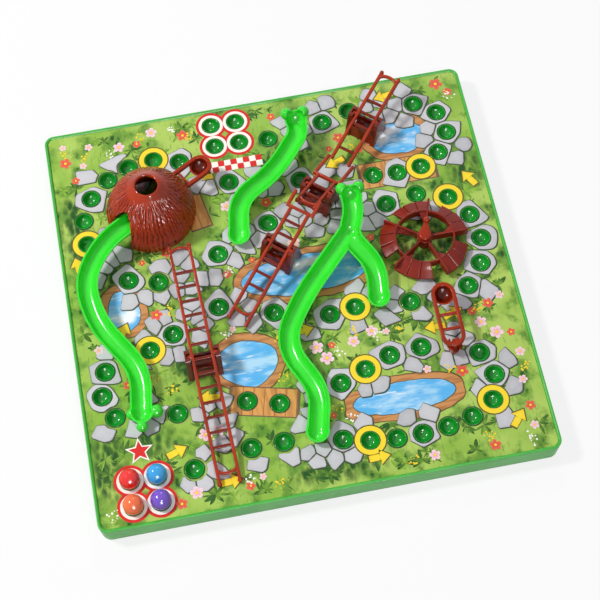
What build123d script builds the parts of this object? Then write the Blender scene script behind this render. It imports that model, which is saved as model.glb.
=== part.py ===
from build123d import *
import os
from math import asin, atan, atan2, cos, degrees, dist, hypot, radians, sin, sqrt, tan

os.makedirs("parts", exist_ok=True)

# All sizes are millimetres. The origin is the middle of the face that the tray stands on,
# +X runs to the right along the front edge, +Y to the back edge and +Z up.

# Ball, and the seats and openings that are made for it
BALL_D = 12.0
SEAT_BITE = 1.6
BALL_PLAY = 0.2
CUP_DEPTH = 5.0
CUP_WALL = 1.2
CUP_EDGE = 0.5
CUP_LIP = 0.3

# Tray: a shallow moulded shell with a sunk deck that carries the printed sheet
TRAY_HEIGHT = 15.0
TRAY_BORDER = 11.9
TRAY_WALL = 1.6
TRAY_TAPER = 0.8
TRAY_CORNER = 6.0
RIM_WIDTH = 1.8
RIM_RISE = 0.8
RIM_ROUND = 0.5
DECK_THICKNESS = 1.5
RIB_THICKNESS = 1.4
RIB_SPACING = 66.0
SHEET_THICKNESS = 0.5
SHEET_PLAY = 0.2

# Pegs under the loose pieces, and their sockets under the deck
PEG_D = 4.6
PEG_LENGTH = 8.0
PEG_PLAY = 0.1
SOCKET_WALL = 1.6

# Snakes: open half-round troughs that fall from the head to the tail
TROUGH_WALL = 1.2
TROUGH_EASE = 0.1
BOWL_SWELL = 0.5
HEAD_HEIGHT = 18.5
SPLIT_HEIGHT = 13.6
POST_D = 7.0
LOBE_R = 3.8
LOBE_SPREAD = 5.2
LOBE_AHEAD = 4.6
LOBE_RAISE = 0.9
LOBE_TURN = 35.0
BEND_SHARE = 0.47

# Hut: a thatched dome with a ball hole at its top
HUT_R = 27.5
HUT_HEIGHT = 36.5
HUT_WALL = 1.6
HUT_HOLE_PLAY = 0.6
HUT_LIP = 1.4
HUT_SHOULDER_R = 17.8
HUT_SHOULDER_HEIGHT = 27.5
ARCH_PLAY = 2.0
ARCH_HEIGHT = 27.0
HATCH_PLAY = 2.0
HUT_PEG_INSET = 1.2

# Catapults: an oval frame with a bowl, hinged on a conical foot
ARM_LENGTH = 41.2
ARM_WIDTH = 14.6
ARM_RAIL = 2.4
ARM_DEPTH = 3.0
ARM_LEVEL = 9.5
ARM_LIFT = 4.0
ARM_OVERHANG = 2.4
BOWL_WALL = 1.0
BOWL_PLAY = 0.1
BOWL_DIP = 2.0
ARM_RUNG = 1.8
ARM_RUNG_PITCH = 9.3
FOOT_TOP_D = 9.2
FOOT_BASE_D = 5.4
FOOT_GAP = 1.0
TONGUE_WIDTH = 3.0
TONGUE_DROP = 3.6
HINGE_PIN_D = 2.2
HINGE_DROP = 2.4
RUN_PLAY = 0.1
SIDE_PLAY = 0.3

# Water wheel: a finned wheel that turns about an upright spindle
WHEEL_R = 27.0
WHEEL_RING_R = 18.6
WHEEL_RING_WALL = 1.3
WHEEL_DEPTH = 6.0
WHEEL_CLEARANCE = 3.2
WHEEL_HUB_R = 4.8
FIN_COUNT = 5
FIN_THICKNESS = 1.4
BLADE_SWEEP = 53.0
BLADE_THICKNESS = 1.3
BLADE_DROP = 4.6
WEB_SWEEP = 16.0
WEB_INNER_R = 9.0
SPINDLE_D = 4.0
SPINDLE_FLANGE_D = 8.0
RETAINER_D = 6.4
RETAINER_THICKNESS = 0.8
KNOB_R = 4.2
KNOB_LENGTH = 9.4
KNOB_TIP_R = 1.6
KNOB_TIP_BALL_R = 2.1
KNOB_HEIGHT = 3.4
KNOB_ROUND = 0.9
KNOB_PLUG = 0.6

# Ladders: seesaws on side pins, carried by the notched lugs of a trestle
RAIL_WIDTH = 2.0
RAIL_DEPTH = 2.6
RAIL_ROUND = 0.6
RAIL_BITE = 2.0
RUNG_PITCH = 9.0
RUNG_WIDTH = 1.8
RUNG_DEPTH = 1.6
STOP_BOW = 3.4
STOP_INSET = 10.0
FORK_PLAY = 0.6
PIN_D = 2.6
PIVOT_HEIGHT = 14.8
LUG_THICKNESS = 3.0
LUG_CAP = 1.0
LUG_PLAY = 0.5
LUG_TOP = 2.4
LUG_HALF_WIDTH = 3.8
LUG_ROUND = 1.6
TRESTLE_HALF_DEPTH = 8.4
TRESTLE_BODY_HEIGHT = 7.6
TRESTLE_SLOPE = 2.2
TRESTLE_FLOOR = 1.3
TRESTLE_LEG = 3.0
FLOOR_PLAY = 0.3

# Places on the board, measured from its middle
START_PLACE = (-105.2, -114.4)
FINISH_PLACE = (-20.8, 115.2)
SQUARE_PITCH = 15.8
HUT_PLACE = (-75.0, 65.0)
WHEEL_PLACE = (86.0, 12.0)
CATAPULTS = {
    "right_catapult": ((87.2, -62.3), 89.8),
    "hut_catapult": ((-68.2, 71.6), 28.0),
}
HUT_PEG_HEADINGS = (110.0, 280.0, 330.0)
CHAIN_START = (-2.0, 19.6)
CHAIN_HEADING = 48.9
CHAIN_STEPS = {"lower": 0.0, "middle": 46.4, "upper": 105.7}
LEFT_PIVOT = (-59.7, -42.8)
LEFT_HEADING = 92.0

# Snake routes seen from above, from the head end to the tail bowl
UPPER_ROUTE = [(23.8, 104.6), (23.5, 95.4), (5, 74), (-21, 60), (-24.5, 37.5)]
LEFT_ROUTE = [(-76, 60), (-107, 43), (-122, 20), (-118, -8), (-97, -42), (-100.3, -68)]
FORK_RIGHT_ROUTE = [(46.7, 43.8), (46, 33), (40, 19), (52.5, -2), (50.5, -21.3)]
FORK_LEFT_ROUTE = [(42, 23), (6, -14), (-12, -42), (4, -76), (-2.1, -99.8)]

# Round lumps of the left snake's low head: heading and distance from its bowl, and radius
LOW_HEAD_LUMPS = [(-2.0, 8.6, 4.0), (176.0, 5.4, 3.6), (-96.0, 8.2, 3.4)]
LOW_HEAD_SINK = 2.7

# Rungs on the low and high sides of each ladder's pins, and how far the rails run past them
LEFT_LADDER = {"low": 78.5, "high": 69.5, "rungs": range(-6, 7), "shift": -2.0}
LOWER_LADDER = {"low": 53.5, "high": 25.0, "rungs": range(-3, 4), "shift": -2.0, "fork": 10.5}
MIDDLE_LADDER = {"low": 17.0, "high": 10.6, "rungs": range(-1, 2), "shift": 1.6, "fork": 18.4}
UPPER_LADDER = {"low": 33.6, "high": 33.0, "rungs": (-3, -1, 0, 1), "shift": 2.6}
MIDDLE_SLOPE = -15.0
UPPER_SLOPE = 11.0

# Levels and sizes that follow from the values above
SHEET_TOP = TRAY_HEIGHT - RIM_RISE
DECK_TOP = SHEET_TOP - SHEET_THICKNESS
DECK_BOTTOM = DECK_TOP - DECK_THICKNESS
SEAT_D = BALL_D - SEAT_BITE
CUP_TOP = SHEET_TOP + CUP_LIP
CUP_R = (SEAT_D**2 / 4 + CUP_DEPTH**2) / (2 * CUP_DEPTH)
CUP_CENTRE = CUP_TOP - CUP_DEPTH + CUP_R
COLLAR_R = SEAT_D / 2 + CUP_EDGE
BALL_CENTRE = CUP_TOP + sqrt(BALL_D**2 - SEAT_D**2) / 2 + BALL_PLAY
TROUGH_INNER_R = SEAT_D / 2 + TROUGH_EASE
TROUGH_OUTER_R = TROUGH_INNER_R + TROUGH_WALL
TAIL_R = TROUGH_OUTER_R + BOWL_SWELL
TAIL_HEIGHT = TAIL_R
PIVOT_LEVEL = SHEET_TOP + PIVOT_HEIGHT
RAIL_SPACING = BALL_D - RAIL_BITE + RAIL_WIDTH
FORK_SPACING = RAIL_SPACING + 2 * (RAIL_WIDTH + FORK_PLAY)
LUG_SPACING = RAIL_SPACING + RAIL_WIDTH + 2 * LUG_PLAY + LUG_THICKNESS
PIN_LENGTH = LUG_SPACING + LUG_THICKNESS - 2 * (LUG_CAP + SIDE_PLAY)
HUT_HOLE_R = BALL_D / 2 + HUT_HOLE_PLAY
HINGE_LEVEL = SHEET_TOP + ARM_LEVEL - HINGE_DROP


def heading_offset(place, heading, along, across=0.0):
    """A point beside a place: along its heading, and across it to the left."""
    c, s = cos(radians(heading)), sin(radians(heading))
    return (place[0] + along * c - across * s, place[1] + along * s + across * c)


def run(count, *points):
    """Cup places spaced evenly along a straight line of 2 points or an arc of 3 points."""
    edge = Line(*points) if len(points) == 2 else ThreePointArc(*points)
    spots = [edge @ (i / (count - 1)) for i in range(count)]
    return [(spot.X, spot.Y) for spot in spots]


def square(place):
    """The four cups of the start or finish group."""
    half = SQUARE_PITCH / 2
    return [(place[0] + sx * half, place[1] + sy * half) for sy in (1, -1) for sx in (-1, 1)]


def cup_places():
    """Every cup on the winding track, from the start group to the finish group."""
    return [
        *square(START_PLACE),
        (-75.7, -106.5),
        *run(2, (-41.3, -100.2), (-22.2, -100.0)),
        *run(6, (11.8, -105.4), (50.0, -110.9), (88.3, -105.8)),
        *run(3, (102.5, -97.7), (107.1, -82.6), (101.9, -66.7)),
        (68.7, -56.4),
        *run(3, (49.3, -58.0), (17.4, -70.1)),
        *run(2, (-20.2, -75.8), (-38.6, -70.6)),
        (-79.8, -70.5),
        *run(3, (-116.0, -65.9), (-121.8, -51.7), (-118.0, -35.7)),
        *run(2, (-89.8, -26.8), (-74.7, -19.0)),
        *run(2, (-44.9, -6.4), (-12.8, -16.7)),
        *run(2, (20.0, -24.5), (35.8, -22.5)),
        (69.1, -25.6),
        *run(4, (105.7, -21.8), (119.8, 0.0), (118.2, 26.3)),
        *run(3, (107.9, 41.3), (90.0, 47.3), (69.3, 44.0)),
        (-5.3, 45.2),
        (-39.3, 29.6),
        *run(2, (-78.1, 17.6), (-95.8, 22.3)),
        *run(4, (-117.4, 52.6), (-115.0, 77.0), (-98.9, 95.8)),
        *run(3, (-85.0, 102.5), (-68.3, 104.9), (-52.6, 100.3)),
        (-24.2, 79.3),
        (20.0, 71.8),
        *run(3, (65.5, 66.1), (80.8, 65.0), (96.2, 66.5)),
        *run(4, (109.3, 74.7), (118.0, 95.0), (101.7, 113.4)),
        *run(2, (59.8, 116.4), (41.7, 111.4)),
        (5.6, 106.0),
        *square(FINISH_PLACE),
    ]


CUPS = cup_places()
TRAY_SIDE = 2 * (max(abs(v) for place in CUPS for v in place) + TRAY_BORDER)

TRESTLES = {"left": (LEFT_PIVOT, LEFT_HEADING)}
for chain_name, chain_step in CHAIN_STEPS.items():
    TRESTLES[chain_name] = (heading_offset(CHAIN_START, CHAIN_HEADING, chain_step), CHAIN_HEADING)
TRESTLE_PEG_ACROSS = LUG_SPACING / 4
HUT_PEG_R = HUT_R - HUT_WALL - PEG_D / 2 - HUT_PEG_INSET

# Every peg on the board as its place, each with a socket in the tray and a hole in the sheet
PEGS = [
    UPPER_ROUTE[0], UPPER_ROUTE[-1], LEFT_ROUTE[0], LEFT_ROUTE[-1],
    FORK_RIGHT_ROUTE[0], FORK_RIGHT_ROUTE[-1], FORK_LEFT_ROUTE[-1], WHEEL_PLACE,
    *[place for place, _ in CATAPULTS.values()],
    *[heading_offset(HUT_PLACE, h, HUT_PEG_R) for h in HUT_PEG_HEADINGS],
    *[heading_offset(p, h, 0, s * TRESTLE_PEG_ACROSS) for p, h in TRESTLES.values() for s in (1, -1)],
]


# A shape's place is the middle of its lower face, or of its left face
STANDING = (Align.CENTER, Align.CENTER, Align.MIN)
REACHING = (Align.MIN, Align.CENTER, Align.MIN)


def rod(radius, bottom, top, place=(0, 0)):
    """An upright round bar between two levels."""
    return Pos(place[0], place[1], bottom) * Cylinder(radius, top - bottom, align=STANDING)


def peg(place):
    """The peg that holds a piece in its socket, from the sheet's top down."""
    return rod(PEG_D / 2, SHEET_TOP - PEG_LENGTH, SHEET_TOP, place)


def tray_outline(level, inset):
    """The tray's rounded square at a level, drawn in by the wall's taper and an inset."""
    taper = TRAY_TAPER * (1 - level / TRAY_HEIGHT)
    side = TRAY_SIDE - 2 * (taper + inset)
    return Pos(0, 0, level) * RectangleRounded(side, side, max(TRAY_CORNER - inset, TRAY_CORNER / 2))


def make_tray():
    """Moulded shell: tapered walls, sunk deck with cups, peg sockets and ribs below."""
    shell = loft([tray_outline(0, 0), tray_outline(TRAY_HEIGHT, 0)])
    top_edges = shell.faces().sort_by(Axis.Z)[-1].edges()
    shell = fillet(top_edges, min(RIM_ROUND, RIM_WIDTH / 3))
    shell -= loft([tray_outline(0, TRAY_WALL), tray_outline(DECK_BOTTOM, TRAY_WALL)])
    shell -= extrude(tray_outline(TRAY_HEIGHT, RIM_WIDTH), DECK_TOP - TRAY_HEIGHT)
    span = TRAY_SIDE - 2 * TRAY_TAPER - TRAY_WALL
    rib = Box(span, RIB_THICKNESS, DECK_BOTTOM, align=STANDING)
    ribs = [Rot(0, 0, turn) * Pos(0, k * RIB_SPACING, 0) * rib for turn in (0, 90) for k in (-1, 0, 1)]
    bowl_outside = Pos(0, 0, CUP_CENTRE) * Sphere(CUP_R + CUP_WALL)
    bowl_outside -= rod(2 * CUP_R, DECK_TOP, CUP_CENTRE + 2 * CUP_R)
    cup = bowl_outside + rod(COLLAR_R, DECK_BOTTOM, CUP_TOP)
    socket = rod(PEG_D / 2 + PEG_PLAY + SOCKET_WALL, SHEET_TOP - PEG_LENGTH, DECK_BOTTOM)
    shell += ribs
    shell += [Pos(x, y, 0) * cup for x, y in CUPS]
    shell += [Pos(x, y, 0) * socket for x, y in PEGS]
    bowl = Pos(0, 0, CUP_CENTRE) * Sphere(CUP_R)
    shell -= [Pos(x, y, 0) * bowl for x, y in CUPS]
    bore = rod(PEG_D / 2 + PEG_PLAY, SHEET_TOP - PEG_LENGTH - PEG_PLAY, SHEET_TOP)
    shell -= [Pos(x, y, 0) * bore for x, y in PEGS]
    return shell


def make_sheet():
    """Printed card on the deck, with a hole for every cup and peg."""
    side = TRAY_SIDE - 2 * (RIM_WIDTH + SHEET_PLAY)
    face = RectangleRounded(side, side, TRAY_CORNER - RIM_WIDTH)
    face -= [Pos(x, y) * Circle(COLLAR_R + SHEET_PLAY) for x, y in CUPS]
    face -= [Pos(x, y) * Circle(PEG_D / 2 + SHEET_PLAY) for x, y in PEGS]
    return Pos(0, 0, DECK_TOP) * extrude(face, SHEET_THICKNESS)


class Trough:
    """A half-round channel along a route that falls evenly from its first to its last point."""

    def __init__(self, route, first_height, last_height):
        chord = dist(route[0], route[-1])
        fall = first_height - last_height
        heading = Vector(route[-1][0] - route[0][0], route[-1][1] - route[0][1]).normalized()
        slope = atan(fall / chord)
        along = Vector(heading.X * cos(slope), heading.Y * cos(slope), -sin(slope))
        across = Vector(-heading.Y, heading.X, 0)
        origin = Vector(route[0][0], route[0][1], SHEET_TOP + first_height)
        self.plane = Plane(origin, x_dir=along, z_dir=along.cross(across))
        points = []
        for x, y in route:
            step = Vector(x - route[0][0], y - route[0][1], 0)
            points.append((step.dot(heading) / cos(slope), step.dot(across)))
        self.path = self.plane * FilletPolyline(*points, radius=bend_radii(points))

    def sweep_section(self, section):
        """Carry a section, drawn with its up side along the rim plane's normal, down the route."""
        tangent = self.path % 0
        frame = Plane(self.path @ 0, x_dir=self.plane.z_dir.cross(tangent), z_dir=tangent)
        return sweep(frame * section, path=self.path)

    def outside(self):
        """The solid half-round bar that the channel is cut from."""
        section = Circle(TROUGH_OUTER_R)
        section -= Pos(0, TROUGH_OUTER_R) * Rectangle(2 * TROUGH_OUTER_R, 2 * TROUGH_OUTER_R)
        return self.sweep_section(section)

    def channel(self):
        """What the ball runs in, open above the rim."""
        section = Circle(TROUGH_INNER_R)
        section += Pos(0, TROUGH_INNER_R / 2) * Rectangle(2 * TROUGH_INNER_R, TROUGH_INNER_R)
        return self.sweep_section(section)

    def bowl(self, radius, at_end, above):
        """A half ball below the rim plane at one end, carried up as a cylinder by a height above."""
        ball = Sphere(radius) - Pos(0, 0, radius) * Box(2 * radius, 2 * radius, 2 * radius)
        if above:
            ball += Cylinder(radius, above, align=STANDING)
        place = self.path @ (1 if at_end else 0)
        return Plane(place, x_dir=self.plane.x_dir, z_dir=self.plane.z_dir) * ball


def bend_radii(points):
    """The largest rounding that fits each corner of a route."""
    radii = []
    for before, corner, after in zip(points, points[1:], points[2:]):
        into = Vector(corner[0] - before[0], corner[1] - before[1])
        out = Vector(after[0] - corner[0], after[1] - corner[1])
        turn = radians(into.get_angle(out))
        radii.append(BEND_SHARE * min(into.length, out.length) / tan(turn / 2))
    return radii


def make_snake(troughs, bowls, lumps, posts):
    """Fuse troughs, end bowls, head lumps and posts, then cut the ball's way through them all.

    bowls are (trough, at_end) pairs, lumps are (place, height, radius), posts are (place, height).
    """
    body = troughs[0].outside()
    body += [trough.outside() for trough in troughs[1:]]
    body += [trough.bowl(TAIL_R, at_end, 0) for trough, at_end in bowls]
    for place, height, radius in lumps:
        body += Pos(place[0], place[1], SHEET_TOP + height) * Rot(LOBE_TURN, LOBE_TURN, 0) * Sphere(radius)
    body += [rod(POST_D / 2, SHEET_TOP, SHEET_TOP + height, place) for place, height in posts]
    body -= [trough.channel() for trough in troughs]
    body -= [trough.bowl(TAIL_R - TROUGH_WALL, at_end, TROUGH_INNER_R) for trough, at_end in bowls]
    body += [peg(place) for place, _ in posts]
    return body


def head_lobes(route):
    """Two round lobes at the corners of a snake's high head."""
    heading = degrees(atan2(route[0][1] - route[1][1], route[0][0] - route[1][0]))
    places = [heading_offset(route[0], heading, LOBE_AHEAD, side * LOBE_SPREAD) for side in (1, -1)]
    return [(place, HEAD_HEIGHT + LOBE_RAISE, LOBE_R) for place in places]


def make_upper_snake():
    """Short snake near the finish: lobed head at the back, bowl at the front."""
    trough = Trough(UPPER_ROUTE, HEAD_HEIGHT, TAIL_HEIGHT)
    posts = [(UPPER_ROUTE[0], HEAD_HEIGHT - TROUGH_INNER_R), (UPPER_ROUTE[-1], TAIL_R / 2)]
    return make_snake([trough], [(trough, True), (trough, False)], head_lobes(UPPER_ROUTE), posts)


def make_left_snake():
    """Long snake that starts under the hut's hole and ends in a head that holds the ball."""
    trough = Trough(LEFT_ROUTE, HEAD_HEIGHT, TAIL_HEIGHT)
    lumps = []
    for heading, distance, radius in LOW_HEAD_LUMPS:
        place = heading_offset(LEFT_ROUTE[-1], heading, distance)
        lumps.append((place, TAIL_HEIGHT - LOW_HEAD_SINK, radius))
    posts = [(LEFT_ROUTE[0], HEAD_HEIGHT - TROUGH_INNER_R), (LEFT_ROUTE[-1], TAIL_R / 2)]
    return make_snake([trough], [(trough, True), (trough, False)], lumps, posts)


def make_fork_snake():
    """Forked snake: one head, a short right leg and a long left leg, each with its own bowl."""
    right = Trough(FORK_RIGHT_ROUTE, HEAD_HEIGHT, TAIL_HEIGHT)
    left = Trough(FORK_LEFT_ROUTE, SPLIT_HEIGHT, TAIL_HEIGHT)
    bowls = [(right, True), (right, False), (left, True)]
    posts = [(FORK_RIGHT_ROUTE[0], HEAD_HEIGHT - TROUGH_INNER_R)]
    posts += [(route[-1], TAIL_R / 2) for route in (FORK_RIGHT_ROUTE, FORK_LEFT_ROUTE)]
    return make_snake([right, left], bowls, head_lobes(FORK_RIGHT_ROUTE), posts)


def make_hut():
    """Thatched dome with a hole in its top, an arch for the snake and a hatch for the catapult."""
    lip_r = HUT_HOLE_R + HUT_LIP
    with BuildSketch(Plane.XZ) as section:
        with BuildLine():
            shoulder = (HUT_SHOULDER_R, HUT_SHOULDER_HEIGHT)
            outer = Spline((HUT_R, 0), shoulder, (lip_r, HUT_HEIGHT), tangents=((0, 1), (-1, 0.6)))
            Line(outer @ 1, (HUT_HOLE_R, HUT_HEIGHT))
            inner_shoulder = (HUT_SHOULDER_R - HUT_WALL, HUT_SHOULDER_HEIGHT - HUT_WALL)
            inner_top = (HUT_HOLE_R, HUT_HEIGHT - HUT_WALL - HUT_LIP)
            Line((HUT_HOLE_R, HUT_HEIGHT), inner_top)
            Spline(inner_top, inner_shoulder, (HUT_R - HUT_WALL, 0), tangents=((1, -0.6), (0, -1)))
            Line((HUT_R - HUT_WALL, 0), (HUT_R, 0))
        make_face()
    dome = revolve(section.sketch, Axis.Z)
    reach = 2 * HUT_R
    arch_r = TROUGH_OUTER_R + ARCH_PLAY
    arch = Pos(0, 0, ARCH_HEIGHT - arch_r) * Rot(0, 90, 0) * Cylinder(arch_r, reach, align=STANDING)
    arch += Box(reach, 2 * arch_r, ARCH_HEIGHT - arch_r, align=REACHING)
    snake_x, snake_y = LEFT_ROUTE[0][0] - HUT_PLACE[0], LEFT_ROUTE[0][1] - HUT_PLACE[1]
    snake_heading = degrees(atan2(LEFT_ROUTE[1][1] - LEFT_ROUTE[0][1], LEFT_ROUTE[1][0] - LEFT_ROUTE[0][0]))
    dome -= Pos(snake_x, snake_y) * Rot(0, 0, snake_heading) * arch
    hatch_top = ARM_LEVEL + ARM_DEPTH + ARM_LENGTH / 2 * sin(radians(ARM_LIFT)) + HATCH_PLAY
    hatch = Box(reach, ARM_WIDTH + 2 * HATCH_PLAY, hatch_top, align=REACHING)
    hinge, arm_heading = CATAPULTS["hut_catapult"]
    dome -= Pos(hinge[0] - HUT_PLACE[0], hinge[1] - HUT_PLACE[1]) * Rot(0, 0, arm_heading) * hatch
    dome = Pos(HUT_PLACE[0], HUT_PLACE[1], SHEET_TOP) * dome
    for heading in HUT_PEG_HEADINGS:
        place = heading_offset(HUT_PLACE, heading, HUT_PEG_R)
        boss = Box(2 * HUT_WALL + PEG_D, PEG_D, PEG_D, align=STANDING)
        boss_place = heading_offset(HUT_PLACE, heading, HUT_PEG_R + HUT_PEG_INSET)
        dome += Pos(boss_place[0], boss_place[1], SHEET_TOP) * Rot(0, 0, heading) * boss
        dome += peg(place)
    return dome


def make_catapult_foot(place, heading):
    """Conical foot whose split top carries the arm's tongue in open notches."""
    top = SHEET_TOP + ARM_LEVEL - FOOT_GAP
    height = top - SHEET_TOP
    cone = Pos(0, 0, SHEET_TOP + height / 2) * Cone(FOOT_BASE_D / 2, FOOT_TOP_D / 2, height)
    slot_bottom = SHEET_TOP + ARM_LEVEL - TONGUE_DROP - FOOT_GAP
    slot = Box(2 * FOOT_TOP_D, TONGUE_WIDTH + 2 * SIDE_PLAY, top, align=STANDING)
    cone -= Pos(0, 0, slot_bottom) * slot
    pin_r = HINGE_PIN_D / 2 + RUN_PLAY
    notch = Pos(0, 0, HINGE_LEVEL) * Rot(90, 0, 0) * Cylinder(pin_r, 2 * FOOT_TOP_D)
    notch += Pos(0, 0, HINGE_LEVEL) * Box(2 * pin_r, 2 * FOOT_TOP_D, top, align=STANDING)
    cone -= notch
    return Pos(place[0], place[1], 0) * Rot(0, 0, heading) * cone + peg(place)


def make_catapult_arm(place, heading):
    """Oval frame with two rungs and a scooped ball bowl; its tongue and pins sit in the foot."""
    middle = ARM_LENGTH / 2 - ARM_OVERHANG
    inner_length = ARM_LENGTH - 2 * ARM_RAIL
    inner_width = ARM_WIDTH - 2 * ARM_RAIL
    oval = SlotOverall(ARM_LENGTH, ARM_WIDTH)
    frame = Pos(middle, 0, HINGE_DROP) * extrude(oval, ARM_DEPTH)
    frame -= Pos(middle, 0, 0) * extrude(SlotOverall(inner_length, inner_width), HINGE_DROP + ARM_DEPTH)
    for step in (1, 2):
        rung = Box(ARM_RUNG, inner_width + ARM_RAIL, ARM_RUNG, align=STANDING)
        frame += Pos(step * ARM_RUNG_PITCH, 0, HINGE_DROP) * rung
    bowl_r = BALL_D / 2 + BOWL_PLAY
    shell_r = bowl_r + BOWL_WALL
    bowl_place = Pos(ARM_LENGTH - ARM_OVERHANG - shell_r, 0, HINGE_DROP + ARM_DEPTH)
    shell = Sphere(shell_r) - Pos(0, 0, shell_r) * Box(2 * shell_r, 2 * shell_r, 2 * shell_r)
    shell -= Pos(-shell_r / 2, 0, 0) * Box(shell_r, 2 * shell_r, 2 * BOWL_DIP)
    frame += bowl_place * shell
    frame -= bowl_place * Sphere(bowl_r)
    tongue_length = HINGE_PIN_D + ARM_RAIL
    tongue_height = TONGUE_DROP + ARM_DEPTH
    tongue = Box(tongue_length, TONGUE_WIDTH, tongue_height, align=STANDING)
    frame += Pos(0, 0, HINGE_DROP - TONGUE_DROP) * tongue
    frame += Rot(90, 0, 0) * Cylinder(HINGE_PIN_D / 2, FOOT_TOP_D - 2 * SIDE_PLAY)
    return Pos(place[0], place[1], HINGE_LEVEL) * Rot(0, 0, heading) * Rot(0, -ARM_LIFT, 0) * frame


WHEEL_BOTTOM = SHEET_TOP + WHEEL_CLEARANCE
WHEEL_TOP = WHEEL_BOTTOM + WHEEL_DEPTH
RETAINER_ROOM = RETAINER_THICKNESS + KNOB_PLUG + 2 * SIDE_PLAY


def make_wheel():
    """Hub, ring and five fins, each with a sloping plank blade outside and a web inside the ring."""
    wheel = rod(WHEEL_HUB_R, WHEEL_BOTTOM, WHEEL_TOP)
    ring = rod(WHEEL_RING_R, WHEEL_BOTTOM, WHEEL_TOP)
    wheel += ring - rod(WHEEL_RING_R - WHEEL_RING_WALL, WHEEL_BOTTOM, WHEEL_TOP)
    fin = Box(WHEEL_R, FIN_THICKNESS, WHEEL_DEPTH, align=REACHING)
    ring_middle = WHEEL_RING_R - WHEEL_RING_WALL / 2
    blade = slanted_sector(ring_middle, WHEEL_R, WHEEL_TOP - BLADE_THICKNESS, BLADE_DROP, BLADE_SWEEP)
    web = slanted_sector(WEB_INNER_R, ring_middle, WHEEL_BOTTOM, -WHEEL_DEPTH / 2, WEB_SWEEP)
    for k in range(FIN_COUNT):
        turn = Rot(0, 0, 360 / FIN_COUNT * k)
        wheel += [turn * Pos(0, 0, WHEEL_BOTTOM) * fin, turn * blade, turn * web]
    wheel -= rod(SPINDLE_D / 2 + RUN_PLAY, WHEEL_BOTTOM, WHEEL_TOP)
    wheel -= rod(RETAINER_D / 2 + SIDE_PLAY, WHEEL_TOP - RETAINER_ROOM, WHEEL_TOP)
    return Pos(WHEEL_PLACE[0], WHEEL_PLACE[1], 0) * wheel


def slanted_sector(inner, outer, level, drop, sweep_angle):
    """A thin plate turned about the wheel's axis, falling by drop from its inner to its outer edge."""
    corners = [
        (inner, level), (outer, level - drop),
        (outer, level - drop + BLADE_THICKNESS), (inner, level + BLADE_THICKNESS),
    ]
    section = Plane.XZ * make_face(Polyline(*corners, close=True))
    return revolve(section, Axis.Z, sweep_angle)


def make_knob():
    """Teardrop pointer on the hub, over the retainer, with a round tip to push it by."""
    tip = Pos(KNOB_LENGTH) * Circle(KNOB_TIP_R)
    knob = extrude(make_hull([*Circle(KNOB_R).edges(), *tip.edges()]), KNOB_HEIGHT)
    knob = fillet(knob.faces().sort_by(Axis.Z)[-1].edges(), min(KNOB_ROUND, KNOB_TIP_R / 2))
    knob += Pos(KNOB_LENGTH, 0, KNOB_HEIGHT) * Rot(LOBE_TURN, LOBE_TURN, 0) * Sphere(KNOB_TIP_BALL_R)
    knob += rod(RETAINER_D / 2 + SIDE_PLAY - RUN_PLAY, -KNOB_PLUG, 0)
    return Pos(WHEEL_PLACE[0], WHEEL_PLACE[1], WHEEL_TOP) * Rot(0, 0, 360 / FIN_COUNT) * knob


def make_spindle():
    """Upright pin of the wheel, with a flange on the sheet and a peg in the tray."""
    top = WHEEL_TOP - RETAINER_ROOM + SIDE_PLAY + RETAINER_THICKNESS
    pin = rod(SPINDLE_D / 2, SHEET_TOP, top, WHEEL_PLACE)
    pin += rod(SPINDLE_FLANGE_D / 2, SHEET_TOP, WHEEL_BOTTOM - SIDE_PLAY, WHEEL_PLACE)
    return pin + peg(WHEEL_PLACE)


def make_retainer():
    """Push-on washer that keeps the wheel on its spindle."""
    bottom = WHEEL_TOP - RETAINER_ROOM + SIDE_PLAY
    washer = rod(RETAINER_D / 2, bottom, bottom + RETAINER_THICKNESS, WHEEL_PLACE)
    return washer - rod(SPINDLE_D / 2, bottom, bottom + RETAINER_THICKNESS, WHEEL_PLACE)


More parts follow.
